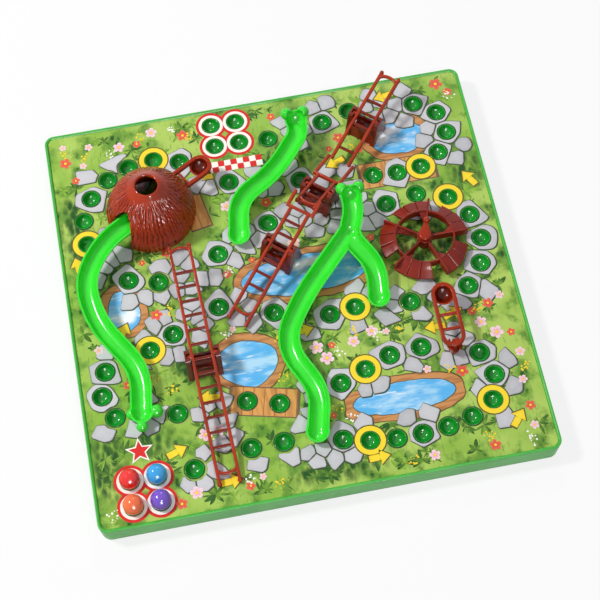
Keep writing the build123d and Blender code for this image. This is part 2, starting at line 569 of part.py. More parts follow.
def make_trestle(place, heading):
    """A-frame stand: two legged end plates with pin notches open on top, joined by a grooved body."""
    top = PIVOT_HEIGHT + LUG_TOP
    half = TRESTLE_HALF_DEPTH
    plate_corners = ((-half, 0), (half, 0), (LUG_HALF_WIDTH, top), (-LUG_HALF_WIDTH, top))
    plate = make_face(Polyline(*plate_corners, close=True))
    plate = fillet(plate.vertices().group_by(Axis.Y)[-1], min(LUG_ROUND, LUG_HALF_WIDTH / 2))
    gap_half = half - TRESTLE_LEG
    plate -= make_face(Polyline((-gap_half, 0), (gap_half, 0), (0, TRESTLE_BODY_HEIGHT), close=True))
    slot_r = PIN_D / 2 + RUN_PLAY
    notch = Pos(0, PIVOT_HEIGHT) * Circle(slot_r)
    notch += Pos(0, PIVOT_HEIGHT + LUG_TOP / 2) * Rectangle(2 * slot_r, LUG_TOP)
    body_half = half - TRESTLE_LEG / 3
    head_half = body_half - TRESTLE_SLOPE
    groove_r = head_half - TRESTLE_FLOOR
    body_height = TRESTLE_BODY_HEIGHT
    corners = ((-body_half, 0), (body_half, 0), (head_half, body_height), (-head_half, body_height))
    body = make_face(Polyline(*corners, close=True))
    body -= Pos(0, body_height) * Circle(groove_r)
    pocket_width = 2 * (body_half - TRESTLE_FLOOR) - TRESTLE_SLOPE
    body -= Rectangle(pocket_width, 2 * (body_height - groove_r - TRESTLE_FLOOR))
    length = LUG_SPACING - LUG_THICKNESS
    upright = Plane.XZ
    stand = extrude(upright * body, length / 2, both=True)
    for side in (1, -1):
        stand += Pos(0, side * LUG_SPACING / 2, 0) * extrude(upright * plate, LUG_THICKNESS / 2, both=True)
        floor_level = body_height - groove_r
        stand += rod(PEG_D / 2, -PEG_LENGTH, floor_level - TRESTLE_FLOOR / 2, (0, side * TRESTLE_PEG_ACROSS))
    stand -= extrude(upright * notch, PIN_LENGTH / 2 + SIDE_PLAY, both=True)
    return Pos(place[0], place[1], SHEET_TOP) * Rot(0, 0, heading) * stand


def bar_across(width, at):
    """A rung of a ladder at a distance along its rails."""
    return Pos(at, 0, 0) * Box(RUNG_WIDTH, width, RUNG_DEPTH)


def bowed_stop(at, outward):
    """The curved bar that stops the ball near a ladder's end, bowed towards that end."""
    half = RAIL_SPACING / 2
    arc = ThreePointArc((at, half), (at + outward * STOP_BOW, 0), (at, -half))
    return extrude(trace(arc, RUNG_WIDTH), RAIL_DEPTH / 2, both=True)


def rail_pair(first, last, spacing):
    """Two rounded rails between two distances from the pins."""
    section = Plane.YZ * RectangleRounded(RAIL_WIDTH, RAIL_DEPTH, RAIL_ROUND)
    rail = extrude(section, last - first)
    return [Pos(first, side * spacing / 2, 0) * rail for side in (1, -1)]


def make_ladder(low, high, rungs, shift, slope, place, heading, fork=0.0, stops=()):
    """A seesaw ladder: rails, rungs, side pins, ball stops and, on some, a wide fork at the high end."""
    pins = Rot(90, 0, 0) * Cylinder(PIN_D / 2, PIN_LENGTH)
    pins -= Box(PIN_D, RAIL_SPACING, PIN_D)
    left_rail, right_rail = rail_pair(-low, high, RAIL_SPACING)
    ladder = left_rail + right_rail
    ladder += bar_across(RAIL_SPACING, rungs[0] * RUNG_PITCH + shift)
    ladder += [bar_across(RAIL_SPACING, k * RUNG_PITCH + shift) for k in rungs[1:]]
    ladder += [bowed_stop(at, outward) for at, outward in stops]
    if fork:
        ladder += bar_across(FORK_SPACING + RAIL_WIDTH, high)
        ladder += rail_pair(high - RUNG_WIDTH / 2, high + fork, FORK_SPACING)
    ladder += pins
    return Pos(place[0], place[1], PIVOT_LEVEL) * Rot(0, 0, heading) * Rot(0, -slope, 0) * ladder


def resting_slope(length):
    """The slope at which a ladder's low end lies just clear of the sheet."""
    reach = hypot(length, RAIL_DEPTH / 2)
    tip = degrees(atan(RAIL_DEPTH / 2 / length))
    return degrees(asin((PIVOT_HEIGHT - FLOOR_PLAY) / reach)) - tip


LADDERS = {
    "left": dict(LEFT_LADDER, slope=resting_slope(LEFT_LADDER["low"]),
                 stops=((STOP_INSET - LEFT_LADDER["low"], -1),
                        (LEFT_LADDER["high"] - STOP_BOW - RAIL_WIDTH, 1))),
    "lower": dict(LOWER_LADDER, slope=resting_slope(LOWER_LADDER["low"]),
                  stops=((STOP_INSET - LOWER_LADDER["low"], -1),)),
    "middle": dict(MIDDLE_LADDER, slope=MIDDLE_SLOPE,
                   stops=((STOP_BOW + RAIL_WIDTH - MIDDLE_LADDER["low"], -1),)),
    "upper": dict(UPPER_LADDER, slope=UPPER_SLOPE,
                  stops=((UPPER_LADDER["high"] - STOP_BOW - RAIL_WIDTH, 1),)),
}
BALL_NAMES = ("red_ball", "blue_ball", "orange_ball", "purple_ball")


def build_parts():
    """Every piece of the game by name."""
    parts = {
        "base_tray": make_tray(),
        "board_sheet": make_sheet(),
        "snake_upper": make_upper_snake(),
        "snake_left": make_left_snake(),
        "snake_fork": make_fork_snake(),
        "hut_dome": make_hut(),
        "water_wheel": make_wheel(),
        "wheel_knob": make_knob(),
        "wheel_spindle": make_spindle(),
        "wheel_retainer": make_retainer(),
    }
    for name, (place, heading) in CATAPULTS.items():
        parts[name + "_foot"] = make_catapult_foot(place, heading)
        parts[name + "_arm"] = make_catapult_arm(place, heading)
    for name, (place, heading) in TRESTLES.items():
        parts["trestle_" + name] = make_trestle(place, heading)
        parts["ladder_" + name] = make_ladder(place=place, heading=heading, **LADDERS[name])
    for name, (x, y) in zip(BALL_NAMES, square(START_PLACE)):
        parts[name] = Pos(x, y, BALL_CENTRE) * Sphere(BALL_D / 2)
    return parts


for part_name, part in build_parts().items():
    export_step(part, f"parts/{part_name}.step")
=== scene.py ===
import logging
import math
from dataclasses import dataclass, field
from enum import Enum
from typing import Iterable, Sequence, Union

import bmesh
import bpy
import numpy as np
from mathutils import Matrix


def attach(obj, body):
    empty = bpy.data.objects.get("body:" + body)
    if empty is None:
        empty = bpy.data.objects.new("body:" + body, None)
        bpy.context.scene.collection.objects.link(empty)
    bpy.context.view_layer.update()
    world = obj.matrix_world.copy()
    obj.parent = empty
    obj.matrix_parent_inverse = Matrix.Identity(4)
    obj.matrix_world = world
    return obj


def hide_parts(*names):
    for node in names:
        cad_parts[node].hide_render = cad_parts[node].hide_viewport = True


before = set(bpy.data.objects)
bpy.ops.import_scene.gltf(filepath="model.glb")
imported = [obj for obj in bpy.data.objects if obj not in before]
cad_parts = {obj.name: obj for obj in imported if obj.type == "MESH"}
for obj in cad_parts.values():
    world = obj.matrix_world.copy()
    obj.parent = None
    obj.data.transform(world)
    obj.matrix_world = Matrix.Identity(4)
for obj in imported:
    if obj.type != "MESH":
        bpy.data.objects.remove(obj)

LOG = logging.getLogger("board_game")
MM = 0.001
BOARD = "board"
SHEET_TOP = 14.2
Array = np.ndarray
Triple = tuple[float, float, float]
Colour = Triple
Pair = tuple[float, float]
Place = Pair
Number = Union[float, "Value"]
EVEN: Triple = (1.0, 1.0, 1.0)
NOISE_ROUGHNESS = 0.55
COAT_ROUGHNESS = 0.08
PRINT_GLOSS = 0.2
ARC_STEPS = 32
DOME_LENGTH = 0.18
DOME_STEPS = (0.0, 0.4, 0.8)
DOME_SIZES = (0.0, 0.72, 0.94)
WHITE: Colour = (1.0, 1.0, 1.0)


def ink(red: int, green: int, blue: int) -> Colour:
    """A printed or moulded colour given as 0 to 255 screen values, as linear light.

    Args:
        red: red share.
        green: green share.
        blue: blue share.

    Returns:
        Linear red, green and blue from 0 to 1.
    """
    c = np.array([red, green, blue]) / 255.0
    linear = np.where(c <= 0.04045, c / 12.92, ((c + 0.055) / 1.055) ** 2.4)
    return tuple(float(v) for v in linear)


def turn_parts(degrees: float) -> Pair:
    """Cosine and sine of an angle in degrees."""
    return math.cos(math.radians(degrees)), math.sin(math.radians(degrees))


class Value:
    """A node socket that can be used in sums; every operation adds one Math node."""

    def __init__(self, graph: "Graph", socket: bpy.types.NodeSocket) -> None:
        """Keep the graph that new nodes go into, and the socket that this value comes from."""
        self.graph = graph
        self.socket = socket

    def _math(self, operation: str, first: Number, second: Number = 0.0) -> "Value":
        """Add a Math node for one operation on two numbers or values."""
        made = self.graph.node("ShaderNodeMath", {"operation": operation}, {0: first, 1: second})
        return Value(self.graph, made.outputs[0])

    def __add__(self, other: Number) -> "Value":
        """Sum."""
        return self._math("ADD", self, other)

    __radd__ = __add__

    def __sub__(self, other: Number) -> "Value":
        """Difference."""
        return self._math("SUBTRACT", self, other)

    def __rsub__(self, other: Number) -> "Value":
        """Difference with a plain number first."""
        return self._math("SUBTRACT", other, self)

    def __mul__(self, other: Number) -> "Value":
        """Product."""
        return self._math("MULTIPLY", self, other)

    __rmul__ = __mul__

    def __truediv__(self, other: Number) -> "Value":
        """Quotient."""
        return self._math("DIVIDE", self, other)

    def __pow__(self, other: Number) -> "Value":
        """Power."""
        return self._math("POWER", self, other)

    def least(self, other: Number) -> "Value":
        """The smaller of two values."""
        return self._math("MINIMUM", self, other)

    def most(self, other: Number) -> "Value":
        """The larger of two values."""
        return self._math("MAXIMUM", self, other)

    def size(self) -> "Value":
        """The value without its sign."""
        return self._math("ABSOLUTE", self)

    def part(self) -> "Value":
        """What is left of the value after its whole number."""
        return self._math("FRACT", self)

    def ramp(self, low: float, high: float) -> "Value":
        """A smooth step from 0 at low to 1 at high, or the other way where low is the larger.

        Args:
            low: where the step starts.
            high: where the step ends.

        Returns:
            The stepped value.
        """
        made = self.graph.node(
            "ShaderNodeMapRange",
            {"interpolation_type": "SMOOTHSTEP", "clamp": True},
            {"Value": self, "From Min": low, "From Max": high, "To Min": 0.0, "To Max": 1.0},
        )
        return Value(self.graph, made.outputs[0])


class Graph:
    """The nodes of one material or of the world."""

    def __init__(self, tree: bpy.types.NodeTree) -> None:
        """Start from an empty node tree."""
        self.tree = tree
        tree.nodes.clear()

    def node(
        self, kind: str, settings: dict | None = None, inputs: dict | None = None,
    ) -> bpy.types.Node:
        """Add a node: its settings are set first, then its sockets get their values or links.

        Args:
            kind: the node's type.
            settings: properties of the node, such as a Math node's operation.
            inputs: socket names or numbers to values, colours or Value objects.

        Returns:
            The new node.
        """
        made = self.tree.nodes.new(kind)
        for key, setting in (settings or {}).items():
            setattr(made, key, setting)
        for key, given in (inputs or {}).items():
            socket = made.inputs[key]
            if isinstance(given, Value):
                self.tree.links.new(given.socket, socket)
            elif isinstance(given, tuple) and len(given) == 3 and socket.type == "RGBA":
                socket.default_value = (*given, 1.0)
            else:
                socket.default_value = given
        return made

    def out(self, node: bpy.types.Node, name: str | int = 0) -> Value:
        """One output of a node as a value."""
        return Value(self, node.outputs[name])

    def place(self) -> Value:
        """Where a point lies in the shared frame, in metres."""
        return self.out(self.node("ShaderNodeTexCoord"), "Object")

    def axes(self, where: Value) -> tuple[Value, Value, Value]:
        """Split a place into its three numbers."""
        parts = self.node("ShaderNodeSeparateXYZ", None, {0: where})
        return tuple(self.out(parts, i) for i in range(3))

    def stretched(self, where: Value, stretch: Triple) -> Value:
        """A place with each of its axes times a factor."""
        return self.out(self.node("ShaderNodeMapping", None, {"Vector": where, "Scale": stretch}))

    def noise(
        self, where: Value, per_metre: float, detail: float, stretch: Triple = EVEN,
    ) -> Value:
        """Soft random variation.

        Args:
            where: the place that it depends on.
            per_metre: how many features fit in a metre.
            detail: how many finer layers are added.
            stretch: factor along each axis.

        Returns:
            A value around one half.
        """
        at = self.stretched(where, stretch)
        inputs = {"Vector": at, "Scale": per_metre, "Detail": detail, "Roughness": NOISE_ROUGHNESS}
        return self.out(self.node("ShaderNodeTexNoise", None, inputs))

    def cells(self, where: Value, per_metre: float, stretch: Triple) -> Value:
        """Distance from the middle of random cells, in cell widths.

        Args:
            where: the place that it depends on.
            per_metre: how many cells fit in a metre.
            stretch: factor along each axis.

        Returns:
            0 in the middle of a cell and about 0.7 on its edge.
        """
        at = self.stretched(where, stretch)
        made = self.node("ShaderNodeTexVoronoi", None, {"Vector": at, "Scale": per_metre})
        return self.out(made, "Distance")

    def mix(self, share: Number, first: Colour | Value, second: Colour | Value) -> Value:
        """A colour between two colours."""
        made = self.node("ShaderNodeMix", {"data_type": "RGBA"}, {0: share, 6: first, 7: second})
        return self.out(made, 2)

    def tone(self) -> Value:
        """The tone that a piece keeps at its points, from 0 to 1."""
        return self.out(self.node("ShaderNodeAttribute", {"attribute_name": "tone"}), "Fac")

    def seen(self) -> Value:
        """1 for what the camera sees, straight or in gloss or glass, and 0 for light on the object."""
        path = self.node("ShaderNodeLightPath")
        straight_on = self.out(path, "Is Camera Ray").most(self.out(path, "Is Glossy Ray"))
        return straight_on.most(self.out(path, "Is Transmission Ray"))

    def bump(self, height: Value, strength: float, distance_mm: float) -> Value:
        """A normal that is tilted by a height over the surface."""
        inputs = {"Strength": strength, "Distance": distance_mm * MM, "Height": height}
        return self.out(self.node("ShaderNodeBump", None, inputs))

    def surface(self, inputs: dict) -> None:
        """End the material in one plain surface shader."""
        shader = self.node("ShaderNodeBsdfPrincipled", None, inputs)
        self.node("ShaderNodeOutputMaterial", None, {"Surface": self.out(shader)})


class Finish:
    """What a surface is finished with; every finish has a name and adds its own nodes."""

    name: str

    def dress(self, g: Graph) -> None:
        """Add the finish's nodes to an empty material."""
        raise NotImplementedError

    def material(self) -> bpy.types.Material:
        """The finished material, made once."""
        known = bpy.data.materials.get(self.name)
        if known:
            return known
        made = bpy.data.materials.new(self.name)
        made.use_nodes = True
        self.dress(Graph(made.node_tree))
        return made


@dataclass(frozen=True)
class MouldedPlastic(Finish):
    """Glossy moulded plastic: faint cloudiness in the colour, painted shade where a piece's tone is low,
    fine unevenness in the gloss.

    Attributes:
        name: the material's name.
        colour: its main colour.
        cloud_and_shade: the colour of its darker clouds and of its painted shade.
        roughness: how dull the skin is.
        coat: share of the clear gloss over it.
        ripple: strength of the moulding's waviness.
        sheen: how much light the skin throws back.
    """

    name: str
    colour: Colour
    cloud_and_shade: Colour
    roughness: float
    coat: float
    ripple: float
    sheen: float = 0.3

    def dress(self, g: Graph) -> None:
        """Add the plastic's nodes."""
        where = g.place()
        cloud = g.noise(where, per_metre=60.0, detail=2.0)
        grain = g.noise(where, per_metre=1400.0, detail=2.0)
        wave = g.noise(where, per_metre=240.0, detail=2.0)
        tint = g.mix(cloud.ramp(0.35, 0.75) * 0.45, self.colour, self.cloud_and_shade)
        # Painted shade: points with a low tone take the darker colour.
        shaded = g.mix(1.0 - g.tone().ramp(0.0, 0.5), tint, self.cloud_and_shade)
        worn = self.roughness * (1.0 + 0.4 * (grain - 0.5) + 0.3 * (cloud - 0.5))
        g.surface({
            "Base Color": shaded,
            "Roughness": worn,
            "Coat Weight": self.coat,
            "Coat Roughness": COAT_ROUGHNESS,
            "Specular IOR Level": self.sheen,
            "Normal": g.bump(wave + 0.25 * grain, self.ripple, 0.25),
        })


@dataclass(frozen=True)
class PrintedInk(Finish):
    """A printed motif: two shades picked by the piece's tone, with a faint paper grain.

    Attributes:
        name: the material's name.
        dark: colour at tone 0.
        light: colour at tone 1.
        mottle: how strongly the ink varies within a motif.
    """

    name: str
    dark: Colour
    light: Colour
    mottle: float

    def dress(self, g: Graph) -> None:
        """Add the ink's nodes."""
        where = g.place()
        mottle = g.noise(where, per_metre=420.0, detail=3.0)
        share = g.tone() + self.mottle * (mottle - 0.5)
        g.surface({
            "Base Color": g.mix(share.ramp(0.0, 1.0), self.dark, self.light),
            "Roughness": 0.42 + 0.1 * (mottle - 0.5),
            "Specular IOR Level": PRINT_GLOSS,
            "Normal": g.bump(g.noise(where, per_metre=2600.0, detail=1.0), 0.05, 0.05),
        })


@dataclass(frozen=True)
class Pond:
    """An oval of printed water or undergrowth, or of painted shadow: its middle and half lengths in
    millimetres.
    """

    x: float
    y: float
    half_x: float
    half_y: float

    def holds(self, spots: Array, margin: float) -> Array:
        """Which spots lie in the pond or within a margin of it."""
        across = (spots[:, 0] - self.x) / (self.half_x + margin)
        return np.hypot(across, (spots[:, 1] - self.y) / (self.half_y + margin)) < 1.0


@dataclass(frozen=True)
class Deck:
    """A printed plank deck: its middle, half lengths in millimetres and turn in degrees."""

    x: float
    y: float
    half_x: float
    half_y: float
    turn: float

    def holds(self, spots: Array, margin: float) -> Array:
        """Which spots lie on the deck or within a margin of it."""
        c, s = turn_parts(self.turn)
        dx, dy = spots[:, 0] - self.x, spots[:, 1] - self.y
        along, across = np.abs(dx * c + dy * s), np.abs(dy * c - dx * s)
        return (along < self.half_x + margin) & (across < self.half_y + margin)


@dataclass(frozen=True)
class MeadowSheet(Finish):
    """The printed card: meadow with dark undergrowth, painted shadow under the wheel, ponds with brown
    banks, and plank decks.

    Attributes:
        name: the material's name.
        ponds, decks, thickets: where each of them lies; all are printed but the first thicket oval, which
            is painted shadow under the wheel.
        grass to plank_edge: the inks.
        plank_width: width of a plank in millimetres.
    """

    name: str = "meadow_print"
    ponds: tuple[Pond, ...] = (
        Pond(12, 6, 40, 13), Pond(52, -86, 30, 9), Pond(86, 91, 17, 12), Pond(-34, -46, 17, 15),
        Pond(-102, 2, 9, 14),
    )
    decks: tuple[Deck, ...] = (
        Deck(-29, -73, 21, 9.5, -14), Deck(81, 66, 25, 9.5, 0), Deck(-48, 62, 7, 13, 10),
    )
    # The first oval is painted shadow under the water wheel; the others are printed undergrowth.
    thickets_and_shade: tuple[Pond, ...] = (
        Pond(86, 12, 24, 20), Pond(-124, -96, 12, 22), Pond(-124, 62, 9, 26), Pond(124, 60, 12, 14),
        Pond(4, -122, 26, 7), Pond(18, 92, 16, 10), Pond(-58, 8, 14, 10), Pond(-108, 16, 14, 26),
        Pond(-62, -40, 18, 12), Pond(-96, -84, 12, 10), Pond(40, 40, 14, 10),
    )
    grass: Colour = ink(140, 182, 68)
    grass_dark: Colour = ink(84, 136, 46)
    grass_pale: Colour = ink(178, 206, 100)
    foliage_and_shade: Colour = ink(34, 80, 30)
    water: Colour = ink(92, 182, 238)
    water_pale: Colour = ink(178, 222, 248)
    water_glare: Colour = ink(244, 249, 253)
    bank: Colour = ink(206, 146, 90)
    bank_dark: Colour = ink(158, 98, 54)
    bank_edge: Colour = ink(92, 78, 44)
    plank: Colour = ink(222, 164, 92)
    plank_dark: Colour = ink(166, 104, 54)
    plank_edge: Colour = ink(112, 92, 70)
    plank_width: float = 6.4

    def dress(self, g: Graph) -> None:
        """Add the sheet's nodes, which work from each point's place on the board."""
        where = g.place()
        x, y, _ = g.axes(where)
        broad = g.noise(where, per_metre=24.0, detail=3.0)
        patch = g.noise(where, per_metre=62.0, detail=4.0)
        blades = g.noise(where, per_metre=620.0, detail=3.0, stretch=(1.0, 0.22, 1.0))
        leaf = g.cells(where, per_metre=300.0, stretch=(1.0, 0.5, 1.0))
        colour = g.mix(broad.ramp(0.36, 0.64), self.grass, self.grass_pale)
        colour = g.mix(patch.ramp(0.47, 0.62) * 0.8, colour, self.grass_dark)
        colour = g.mix(patch.ramp(0.54, 0.66) * leaf.ramp(0.6, 0.25), colour, self.foliage_and_shade)
        # Dark leaves over the undergrowth ovals; under the wheel they are painted shadow.
        shade = self._shore(g, x, y, self.thickets_and_shade) + 26.0 * MM * (patch - 0.5)
        colour = g.mix(shade.ramp(5.0 * MM, -7.0 * MM) * leaf.ramp(0.95, 0.3), colour, self.foliage_and_shade)
        colour = g.mix(blades.ramp(0.56, 0.72) * 0.55, colour, self.grass_dark)
        wander = g.noise(where, per_metre=48.0, detail=2.0) - 0.5
        shore = self._shore(g, x, y, self.ponds) + 7.0 * MM * wander
        grain = g.noise(where, per_metre=150.0, detail=3.0, stretch=(0.35, 2.2, 1.0))
        bank = g.mix(grain.ramp(0.46, 0.60) * 0.6, self.bank, self.bank_dark)
        colour = g.mix(shore.ramp(6.0 * MM, 5.6 * MM), colour, self.bank_edge)
        colour = g.mix(shore.ramp(5.2 * MM, 4.9 * MM), colour, bank)
        colour = g.mix(shore.ramp(0.8 * MM, 0.5 * MM), colour, self.bank_edge)
        lake = self._lake(g, where, shore)
        colour = g.mix(shore.ramp(0.2 * MM, 0.0), colour, lake)
        for deck in self.decks:
            colour = self._planks(g, x, y, deck, colour)
        paper = g.noise(where, per_metre=2400.0, detail=2.0)
        g.surface({
            "Base Color": colour,
            "Roughness": 0.36 + 0.12 * (broad - 0.5),
            "Specular IOR Level": PRINT_GLOSS,
            "Normal": g.bump(paper, 0.05, 0.06),
        })

    def _lake(self, g: Graph, where: Value, shore: Value) -> Value:
        """Colour of the water: ripples, short glints and a broad pale glare away from the bank.

        Args:
            g: the material's nodes.
            where: place on the board.
            shore: distance from the waterline, less than nothing in the water.

        Returns:
            The colour.
        """
        ripple = g.noise(where, per_metre=110.0, detail=3.0, stretch=(0.5, 1.6, 1.0))
        glint = g.noise(where, per_metre=260.0, detail=2.0, stretch=(0.3, 1.8, 1.0))
        glare = g.noise(where, per_metre=36.0, detail=4.0, stretch=(0.8, 1.4, 1.0))
        lake = g.mix(ripple.ramp(0.40, 0.68), self.water, self.water_pale)
        lake = g.mix(glint.ramp(0.62, 0.70) * 0.8, lake, self.water_glare)
        return g.mix(glare.ramp(0.50, 0.62) * shore.ramp(-1.0 * MM, -5.0 * MM), lake, self.water_glare)

    @staticmethod
    def _shore(g: Graph, x: Value, y: Value, ovals: Sequence[Pond]) -> Value:
        """Distance of a point from the nearest oval's edge in metres, less than nothing inside it.

        For an oval f = 1 with f = ((x/a)^2 + (y/b)^2)^0.5 this is (f - 1) over the steepness of f.

        Args:
            g: the material's nodes.
            x: place across the board.
            y: place along the board.
            ovals: the ponds, or the undergrowth and the painted shadow under the wheel.

        Returns:
            The least distance over all ovals.
        """
        nearest = None
        for oval in ovals:
            a, b = oval.half_x * MM, oval.half_y * MM
            dx = (x - oval.x * MM) / a
            dy = (y - oval.y * MM) / b
            f = (dx * dx + dy * dy + 1e-4) ** 0.5
            steep = (dx * dx / (a * a) + dy * dy / (b * b) + 1e-2) ** 0.5
            away = (f - 1.0) * f / steep
            nearest = away if nearest is None else nearest.least(away)
        return nearest

    def _planks(self, g: Graph, x: Value, y: Value, deck: Deck, under: Value) -> Value:
        """Lay one plank deck over what is already printed.

        Args:
            g: the material's nodes.
            x: place across the board.
            y: place along the board.
            deck: the deck's place and size.
            under: the colour below it.

        Returns:
            The colour with the deck on it.
        """
        c, s = turn_parts(deck.turn)
        along = (x - deck.x * MM) * c + (y - deck.y * MM) * s
        across = (y - deck.y * MM) * c - (x - deck.x * MM) * s
        inside = (along.size() / (deck.half_x * MM)).most(across.size() / (deck.half_y * MM))
        seam = ((along / (self.plank_width * MM)).part() - 0.5).size()
        fibre = g.noise(g.place(), per_metre=300.0, detail=3.0, stretch=(1.0, 0.2, 1.0))
        wood = g.mix(fibre.ramp(0.42, 0.66) * 0.55, self.plank, self.plank_dark)
        wood = g.mix(seam.ramp(0.44, 0.48), wood, self.plank_dark)
        edged = g.mix(inside.ramp(0.90, 0.95), wood, self.plank_edge)
        return g.mix(inside.ramp(1.02, 0.99), under, edged)


@dataclass(frozen=True)
class StudioWhite(Finish):
    """Pale floor that shows near white to the camera and still takes the object's shadow.

    Attributes:
        name: the material's name.
        share: how much of what the camera sees is plain white.
        paint: colour of the floor in the lamps' light.
    """

    name: str = "studio_floor"
    share: float = 0.8
    paint: Colour = (0.86, 0.86, 0.86)

    def dress(self, g: Graph) -> None:
        """Add the floor's nodes."""
        matt = g.node("ShaderNodeBsdfDiffuse", None, {"Color": self.paint})
        glow = g.node("ShaderNodeEmission", None, {"Color": WHITE, "Strength": 1.0})
        shares = {0: g.seen() * self.share, 1: g.out(matt), 2: g.out(glow)}
        both = g.node("ShaderNodeMixShader", None, shares)
        g.node("ShaderNodeOutputMaterial", None, {"Surface": g.out(both)})


def plastic(name: str, colour: Colour, cloud_and_shade: Colour, *skin: float) -> MouldedPlastic:
    """A moulded plastic; skin gives its roughness, coat, ripple and sheen."""
    return MouldedPlastic(name + "_plastic", colour, cloud_and_shade, *skin)


def printed(name: str, dark: Colour, light: Colour, mottle: float = 0.35) -> PrintedInk:
    """A printed ink with its two shades."""
    return PrintedInk(name + "_ink", dark, light, mottle)


TRAY_GREEN = plastic("tray_green", ink(74, 180, 64), ink(50, 154, 48), 0.34, 0.05, 0.05)
CUP_GREEN = plastic("cup_green", ink(20, 156, 44), ink(8, 116, 30), 0.08, 0.1, 0.0, 0.3)
SNAKE_GREEN = plastic("snake_green", ink(54, 224, 50), ink(34, 196, 38), 0.18, 0.12, 0.03, 0.35)
TIMBER_BROWN = plastic("red_brown", ink(162, 46, 12), ink(96, 22, 5), 0.2, 0.06, 0.06, 0.18)
THATCH_BROWN = plastic("thatch_brown", ink(172, 47, 2), ink(80, 16, 0), 0.11, 0.12, 0.03, 0.26)
LADDER_RED = plastic("ladder_red", ink(176, 54, 24), ink(100, 24, 8), 0.18, 0.08, 0.06, 0.2)
TRESTLE_BROWN = plastic("trestle_brown", ink(122, 34, 14), ink(62, 15, 5), 0.13, 0.1, 0.05, 0.3)
WHEEL_BROWN = plastic("wheel_brown", ink(140, 38, 24), ink(80, 18, 11), 0.22, 0.06, 0.08, 0.18)
POINTER_RED = plastic("pointer_red", ink(172, 46, 14), ink(124, 26, 8), 0.18, 0.06, 0.06, 0.2)
BALL_SKIN = (0.12, 0.4, 0.02, 0.4)
BALLS = {
    "red": plastic("red_ball", ink(238, 28, 26), ink(206, 14, 18), *BALL_SKIN),
    "blue": plastic("blue_ball", ink(52, 172, 236), ink(24, 140, 214), *BALL_SKIN),
    "orange": plastic("orange_ball", ink(250, 116, 58), ink(232, 88, 34), *BALL_SKIN),
    "purple": plastic("purple_ball", ink(122, 82, 206), ink(92, 54, 176), *BALL_SKIN),
}
STONE_GREY = printed("stone_grey", ink(126, 128, 132), ink(208, 208, 211), 0.25)
JOINT_GREY = printed("stone_joint", ink(60, 68, 50), ink(84, 96, 66))
SIGN_YELLOW = printed("sign_yellow", ink(240, 190, 30), ink(255, 228, 60), 0.15)
SIGN_EDGE = printed("sign_edge", ink(84, 82, 44), ink(112, 104, 54))
PETAL_RED = printed("petal_red", ink(206, 60, 52), ink(236, 104, 84))
PETAL_PINK = printed("petal_pink", ink(232, 140, 170), ink(252, 216, 224))
LEAF_GREEN = printed("leaf_green", ink(34, 84, 32), ink(140, 184, 64))
CREAM_WHITE = printed("cream_white", ink(246, 240, 226), ink(255, 252, 244), 0.1)
FLAG_RED = printed("flag_red", ink(206, 34, 34), ink(226, 50, 46), 0.1)


@dataclass
class Patch:
    """A surface in millimetres: its points, its four-sided faces and a tone for each point."""

    points: Array
    quads: Array
    tone: Array

    @staticmethod
    def grid(
        points: Array, wrap_u: bool = False, wrap_v: bool = False, tone: Array | float = 1.0,
    ) -> "Patch":
        """Faces between the neighbours of a grid of points.

        Args:
            points: array of rows, columns and three numbers.
            wrap_u: join the last row to the first.
            wrap_v: join the last column to the first.
            tone: one tone, or one for each row and column.

        Returns:
            The surface.
        """
        rows, columns = points.shape[:2]
        index = np.arange(rows * columns).reshape(rows, columns)
        if wrap_u:
            index = np.vstack([index, index[:1]])
        if wrap_v:
            index = np.hstack([index, index[:, :1]])
        corners = [index[:-1, :-1], index[1:, :-1], index[1:, 1:], index[:-1, 1:]]
        quads = np.stack(corners, -1).reshape(-1, 4)
        shade = np.broadcast_to(np.asarray(tone, float), (rows, columns)).reshape(-1)
        return Patch(points.reshape(-1, 3).astype(float), quads, shade.copy())

    @staticmethod
    def join(patches: Iterable["Patch"]) -> "Patch":
        """Several surfaces as one."""
        parts = list(patches)
        starts = np.cumsum([0] + [len(p.points) for p in parts[:-1]])
        return Patch(
            np.concatenate([p.points for p in parts]),
            np.concatenate([p.quads + start for p, start in zip(parts, starts)]),
            np.concatenate([p.tone for p in parts]),
        )

    def turned(self, axis: str, degrees: float) -> "Patch":
        """The surface turned about one axis of the frame."""
        turn = np.array(Matrix.Rotation(math.radians(degrees), 3, axis))
        return Patch(self.points @ turn.T, self.quads, self.tone)

    def shifted(self, x: float, y: float, z: float) -> "Patch":
        """The surface moved by three distances."""
        return Patch(self.points + np.array([x, y, z]), self.quads, self.tone)

    def in_painted_shade(self, tone: float) -> "Patch":
        """The surface at one tone all over, used to paint shade on the whole of it."""
        return Patch(self.points, self.quads, np.full(len(self.points), tone))


class Skin(Enum):
    """How a surface is finished into a mesh."""

    SOLID = "closed, with its faces turned outwards"
    FLAT = "flat, with its faces turned up"


def placed(name: str, data: bpy.types.ID) -> bpy.types.Object:
    """A new object in the scene."""
    made = bpy.data.objects.new(name, data)
    bpy.context.scene.collection.objects.link(made)
    return made


